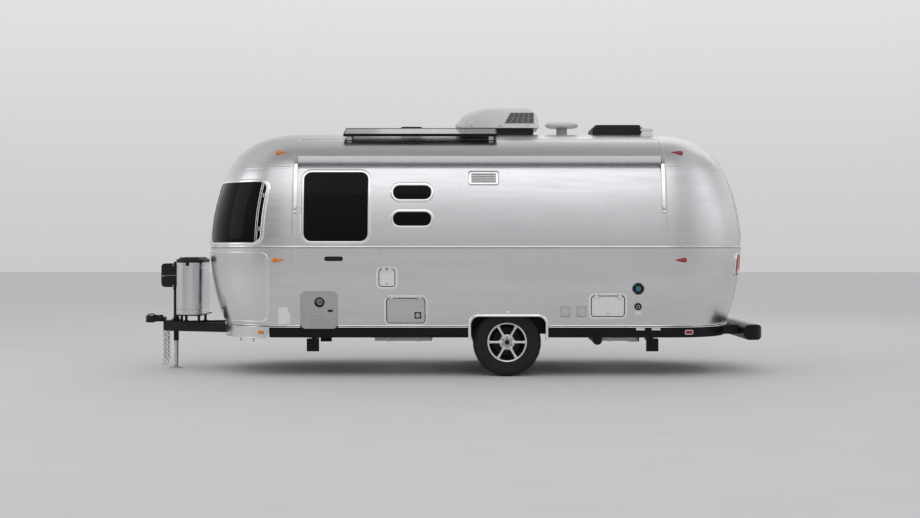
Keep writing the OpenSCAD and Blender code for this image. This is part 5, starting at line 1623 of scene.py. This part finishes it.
def courses(x, l, half, r, rows, least, n):
    """Rounded rectangles at the (inset, height) rows of a cover."""
    out = []
    for d, z in rows:
        ring = outline(x + d, -half + d, l - 2 * d, 2 * half - 2 * d, max(r - d, least), n)
        out.append([Vector((u, v, z)) for u, v in ring])
    return out


def vent_rows(x, l, hw, z0, z1, r, fillet, n=5):
    turns = [pi / 2 * j / n for j in range(n + 1)]
    rows = [(0.0, z0)] + [(fillet * (1 - cos(a)), z1 - fillet * (1 - sin(a))) for a in turns]
    return courses(x, l, hw, r, rows, 4, 6)


def stack(kit, rows):
    n, k = len(rows), len(rows[0])
    return kit.add([q for row in rows for q in row], quads(n, k) + caps(n, k))


for x, l, hw, rise in VENTS:
    z = CROWN + rise
    low = CROWN - 40 if hw < 250 else CROWN - 80
    stack(lid, vent_rows(x, l, hw, low, z - 30, 50, 8))
    stack(lid, vent_rows(x + 25, l - 50, hw - 25, z - 32, z, 50, 16))
    for k in range(1, 5):
        u = x + 40 + (l - 80) * k / 5
        tube(ribs, [(u, -hw + 60, z - 2.5), (u, hw - 60, z - 2.5)], 2.5, 8)
piece("vent_lids", lid, "black_plastic", smooth=35, node="roof_vents")
piece("vent_lid_ribs", ribs, "black_plastic", smooth=50)

DISH_X, DISH_Z = along(0.2558), CROWN + 80
dish, post = Kit(), Kit()
lathe(dish,
      [(0.01, 0), (120, 0.5), (152, 2), (172, 10), (180.5, 22), (182, 32), (180.5, 43), (172, 53), (150, 60),
       (100, 63.5), (0.01, 65)],
      Matrix.Translation((DISH_X, 0, DISH_Z)), 64)
lathe(post, [(0.01, -22), (84, -22), (84, -6), (66, 4), (60, 12), (58, 60), (60, 76), (66, 79.5), (0.01, 79.5)],
      Matrix.Translation((DISH_X, 0, CROWN)), 40)
STACK = (along(0.0221), 400, 70, 50)
piece("antenna_dish", dish, "white_plastic", smooth=40, node="antenna")
piece("antenna_post", post, "grey_plastic", smooth=40, node="antenna")

# ---- gas bottle cover on the drawbar ----
COVER = (2647, 2929, 345, 596, 1160, 1218, 120)
c0, c1, cy, z0, z1, z2, cr = COVER
BODY_ROWS = [
    (2, z0 + 0.5), (0, z0 + 3), (0, z0 + 40), (0, z0 + 44), (3, z0 + 48), (3, z0 + 54), (0, z0 + 58), (0, z1 - 60),
    (3, z1 - 56), (3, z1 - 50), (0, z1 - 46), (0, z1),
]
LID_ROWS = [
    (0, z1 + 0.5), (0, z2 - 26), (1.5, z2 - 22), (7, z2 - 19), (24, z2 - 17), (30, z2 - 13), (34, z2 - 4),
    (40, z2 - 0.5),
    (70, z2),
]
kit = stack(Kit(), courses(c0, c1 - c0, cy, cr, BODY_ROWS, 30, 14))
piece("gas_cover_shell", kit, "guard", slot="bright", smooth=25, node="gas_cover")
kit = stack(Kit(), courses(c0, c1 - c0, cy, cr, LID_ROWS, 30, 14))
piece("gas_cover_top", kit, "black_plastic", smooth=30, node="gas_cover_lid")
seam, latch = Kit(), Kit()
for way in (1, -1):
    block(seam, c0 + 58, c0 + 66, way * (cy - 1), way * (cy + 1.8), z0 + 4, z1 - 4)
    block(seam, c0 + 74, c0 + 80, way * (cy - 1), way * (cy + 1.5), z0 + 4, z1 - 4)
    block(latch, (c0 + c1) / 2 - 18, (c0 + c1) / 2 + 18, way * (cy - 2), way * (cy + 8), z1 - 34, z1 + 22)
    tube(latch, [((c0 + c1) / 2 - 12, way * (cy + 9), z1 + 16), ((c0 + c1) / 2 + 12, way * (cy + 9), z1 + 16)], 4, 10)
piece("gas_cover_straps", seam, "sill", bevel=0.6)
piece("gas_cover_latches", latch, "black_plastic", bevel=1.5)

# ---- jack, coupler and chain hooks ----
JACK_X = 2976
kit = Kit()
at = Matrix.Translation((JACK_X, 0, 0))
for z in (520, 545, 870):
    lathe(kit, [(28.6, z - 9), (34, z - 9), (36, z - 6), (36, z + 6), (34, z + 9), (28.6, z + 9)], at, 32)
lathe(kit, [(29, 524), (56, 524), (56, 532), (29, 533)], at, 32)
for k in range(3):
    a = 2 * pi * k / 3 + 0.4
    bolt(kit, (JACK_X + 45 * cos(a), 45 * sin(a), 532), (0, 0, 1), 6, 6)
piece("jack_collars", kit, "frame", smooth=35)
kit = Kit()
for way in (1, -1):
    for z in (905, 1010, 1130):
        bolt(kit, (JACK_X + 20 if z != 1010 else JACK_X + 130, way * 75, z), (0, way, 0), 5, 4)
    block(kit, JACK_X - 38, JACK_X + 148, way * 74.4, way * 75.8, 1016, 1019)
piece("jack_head_details", kit, "zinc")
kit = lathe(Kit(), [(0.01, 0), (70, 0.3), (70, 9), (66, 12), (40, 15), (30, 26), (25.5, 28)], at, 40)
piece("jack_foot_plate", kit, "zinc", smooth=30)
kit, pin = Kit(), Kit()
block(kit, 3130, 3230, -9, 9, 572, 580)
tube(kit, [(3214, 0, 583), (3236, 0, 592), (3268, 0, 588), (3290, 0, 580)], 7.5, 12, flat=0.7)
tube(pin, [(3160, -44, 572), (3160, 44, 572)], 5, 12)
for x in (3112, 3140):
    for way in (1, -1):
        bolt(kit, (x, way * 45, 535), (0, way, 0), 9, 7)
lathe(kit, [(29.7, 0), (50, 0), (52, 3), (52, 10), (50, 13), (47, 13), (44, 3)], Matrix.Translation((3258, 0, 499)),
      44, True)
piece("coupler_latch", kit, "frame", bevel=1.2)
piece("coupler_pin", pin, "zinc", smooth=40)
kit = Kit()
CHAIN_X, CHAIN_Y, CHAIN_Z = 3080, 95, 104.7 - 17
eye, bow = ([radians(d) for d in range(*span, 20)] for span in ((-60, 181), (0, 201)))
for way in (1, -1):
    hook = [(13 * sin(a), -8 + 13 * cos(a)) for a in eye] + [(0, -26), (2, -34)]
    hook += [(2 + 14 * (1 - cos(a)), -38 - 14 * sin(a)) for a in bow]
    tube(kit, [(CHAIN_X + x, way * CHAIN_Y, CHAIN_Z + z) for x, z in hook], 4.2, 10)
piece("chain_hooks", kit, "zinc", smooth=50)
kit = Kit()
HITCH_X, HITCH_Y, BAR_X = 3090, 55, 1600
for x in (2690, 2890):
    for way in (1, -1):
        b = HITCH_Y + (HITCH_X - x) * (RAIL_Y - HITCH_Y) / (HITCH_X - BAR_X)
        lathe(kit, [(15, 0), (28, 0), (28, 6), (15, 7)], Matrix.Translation((x, way * b, FLOOR_Z)), 24)
piece("tray_post_feet", kit, "frame", smooth=35)

# ---- bumper cover, tank straps and step tread ----
B_X0, B_Y, B_Z1 = REAR_X - TAIL_D + 97 - 210, HALF_W - 280, 521
kit, line = Kit(), Kit()
plate = outline(-B_Y + 120, B_X0 + 62, 2 * B_Y - 240, 86, 20, 8)
kit.add(*prism(plate, lambda a, b, t: Vector((b, a, t)), B_Z1 - 1, B_Z1 + 3))
for way in (1, -1):
    for u in (-300, 300):
        q = Vector((B_X0 + 105, u + way * 120, B_Z1 + 3))
        bolt(line, q, (0, 0, 1), 6, 4)
piece("bumper_top_plate", kit, "grey_plastic", bevel=1.5)
for way in (1, -1):
    block(line, B_X0 + 12, B_X0 + 200, way * 560 - 1.5, way * 560 + 1.5, B_Z1 - 0.5, B_Z1 + 0.8)
piece("bumper_plate_screws", line, "zinc")
kit = Kit()
TANK_Y, STRAP_Z, STRAP_W = 560.5, 326.5, 20
TANKS = ((along(0.053), along(0.1573)), (along(0.6307), along(0.7914)))
for a, b in TANKS:
    for x in (a + (b - a) * 0.25, a + (b - a) * 0.75):
        block(kit, x - STRAP_W, x + STRAP_W, -563, 563, STRAP_Z, STRAP_Z + 3)
        for way in (1, -1):
            block(kit, x - STRAP_W, x + STRAP_W, way * TANK_Y, way * (TANK_Y + 2.5), 327, 410)
piece("tank_straps", kit, "zinc", bevel=0.6)
ST_X0, ST_X1 = DOOR_X + 100 + 14, DOOR_X + DOOR_W - 100 - 14
GRIP_Y, GRIP_PITCH, GRIP_W, GRIP_Z = -912, 20, 9, 351.5
kit = Kit()
for k in range(9):
    y = GRIP_Y + k * GRIP_PITCH
    block(kit, ST_X0 + 14, ST_X1 - 14, y, y + GRIP_W, GRIP_Z, 353.6)
piece("step_grip_strips", kit, "grip", "step", "black_plastic", bevel=0.8)

# ---- corner window bars and latches, wrap stubs, plumbing vent ----
bars, latches = Kit(), Kit()
for skin in CORNERS:
    x, z, w, h = CORNER_WIN[:4]
    rear = -1 if skin.at(-400, 1700).x < skin.at(400, 1700).x else 1
    u = rear * (w / 2 - 44)
    for d in (0, 16):
        line = [skin.at(u - rear * d, z + 14 + (h - 28) * i / 24, -3.0) for i in range(25)]
        tube(bars, line, 4.0, 8)
    for zz in (z + 150, z + h - 150):
        n = skin_normal(skin.at(u + rear * 22, zz))
        pad(latches, look(skin.at(u + rear * 22, zz, -3.0), n), 18, 44, 5, -2, 6, 4)
piece("corner_window_bars", bars, "sill", smooth=50)
piece("corner_window_latches", latches, "grey_plastic", bevel=1.0)
STUB_XS = (1991, 2144)
kit = Kit()
for way in (1, -1):
    for x in STUB_XS:
        q = plan_pt(f_at_x(WALL_Z, x), 0, -22)
        lathe(kit, [(0.01, 356), (8, 356), (8.5, 358), (8.5, 400), (0.01, 400)],
              Matrix.Translation((q.x, way * abs(q.y), 0)), 16)
piece("wrap_stubs", kit, "zinc", smooth=40)
lo, hi = 60.0, 90.0
for _ in range(40):
    t = (lo + hi) / 2
    if turn_pt(t)[0] > STACK[1]:
        lo = t
    else:
        hi = t
zs = turn_pt(lo)[1]
kit = Kit()
foot = zs - CROWN - 22
lathe(kit,
      [(0.01, foot), (70, foot), (70, foot + 34), (62, foot + 42), (56, 6), (56, 14), (66, 18), (70, 24), (69, 36),
       (60, 46), (36, 49.5), (0.01, 50)],
      Matrix.Translation((STACK[0], STACK[1], CROWN)), 36)
piece("plumbing_vent_cap", kit, "white_plastic", smooth=35, node="antenna")

# ---- stage, light and camera ----
floor_mat = material("stage_floor", (0.80, 0.80, 0.80), (0.78, 0.78, 0.78), 0.0, (0.75, 0.85), 1.5)
me = bpy.data.meshes.new("stage_floor")
E = 60
me.from_pydata([(-E, -E, 0), (E, -E, 0), (E, E, 0), (-E, E, 0)], [], [(0, 1, 2, 3)])
me.materials.append(floor_mat)
floor = bpy.data.objects.new("stage_floor", me)
bpy.context.collection.objects.link(floor)

world = bpy.data.worlds.new("studio")
bpy.context.scene.world = world
world.use_nodes = True
wn = world.node_tree
bg = wn.nodes["Background"]
bg.inputs["Strength"].default_value = 1.0
where = shader(wn, "TexCoord").outputs["Generated"]
axes = shader(wn, "SeparateXYZ", Vector=where).outputs


def spread(axis, low, high=1.0):
    """Share of the way between two values of a direction's axis."""
    return shader(wn, "MapRange", Value=axes[axis], From_Min=low, From_Max=high).outputs["Result"]


def greys(value, stops, tint=1.0):
    """Ramp of greys over a value, from (position, level) stops."""
    ramp = shader(wn, "ValToRGB", Fac=value)
    els = ramp.color_ramp.elements
    for k, (pos, level) in enumerate(stops):
        e = els[k] if k < 2 else els.new(pos)
        e.position = pos
        e.color = (level, level, level * tint, 1)
    return ramp


def mix(blend):
    new = wn.nodes.new("ShaderNodeMix")
    new.data_type = "RGBA"
    new.blend_type = blend
    return new


# levels by elevation on the viewer's side and behind, and bands along the body
SKY = [(-90, 0.45), (-2, 0.58), (3, 0.64), (12, 0.80), (24, 0.98), (36, 1.0), (60, 0.96), (74, 0.46), (90, 0.32)]
BACK = [(-90, 0.45), (-2, 0.58), (3, 0.64), (12, 0.80), (20, 0.66), (32, 0.56), (60, 0.60), (74, 0.42), (90, 0.32)]
BANDS = [(-1.0, 1.0), (-0.78, 0.95), (-0.5, 0.66), (-0.3, 0.58), (-0.2, 0.7), (-0.13, 1.0), (-0.06, 0.86),
         (0.015, 0.66),
         (0.07, 0.86), (0.12, 1.0), (0.2, 0.52), (0.4, 0.4), (0.6, 0.4), (0.8, 0.95), (1.0, 1.0)]
up = spread("Z", -1.0)
ramps = [greys(up, [((sin(radians(a)) + 1) / 2, level) for a, level in levels], 1.01) for levels in (SKY, BACK)]
bands = greys(spread("X", -1.0), [((x + 1) / 2, level) for x, level in BANDS])
bands.color_ramp.interpolation = "EASE"
banded, sky = mix("MULTIPLY"), mix("MIX")
banded.inputs["Factor"].default_value = 1.0
wn.links.new(ramps[0].outputs["Color"], banded.inputs["A"])
wn.links.new(bands.outputs["Color"], banded.inputs["B"])
wn.links.new(spread("Y", -0.1, 0.35), sky.inputs["Factor"])
wn.links.new(ramps[1].outputs["Color"], sky.inputs["A"])
wn.links.new(banded.outputs["Result"], sky.inputs["B"])
wn.links.new(sky.outputs["Result"], bg.inputs["Color"])


def area(name, loc, target, size, power):
    li = bpy.data.lights.new(name, "AREA")
    li.shape = "RECTANGLE"
    li.size, li.size_y = size
    li.energy = power
    ob = bpy.data.objects.new(name, li)
    bpy.context.collection.objects.link(ob)
    ob.location = loc
    ob.rotation_euler = (Vector(target) - Vector(loc)).to_track_quat("-Z", "Y").to_euler()


area("key", (1.5, 9.0, 9.0), (0, 0, 1.2), (13, 6.5), 145)
area("fill", (-4.0, -9.0, 9.0), (0, 0, 1.2), (13, 6.5), 115)
area("nose_panel", (9.0, 2.0, 4.0), (3.6, 0.4, 0.3), (4, 5), 44)
area("tail_panel", (-9.0, 2.0, 4.0), (-3.6, 0.4, 0.3), (4, 5), 8)

cam = bpy.data.cameras.new("camera")
cam.sensor_width = 36
cam.lens = 56.0
cam.shift_x = 6 / 920
cam.shift_y = -12 / 920
camera = bpy.data.objects.new("camera", cam)
bpy.context.collection.objects.link(camera)
camera.location = (-0.090, 15.8, 1.33)
camera.rotation_euler = (radians(90), 0, radians(180))
bpy.context.scene.camera = camera
bpy.context.scene.view_settings.view_transform = "Standard"
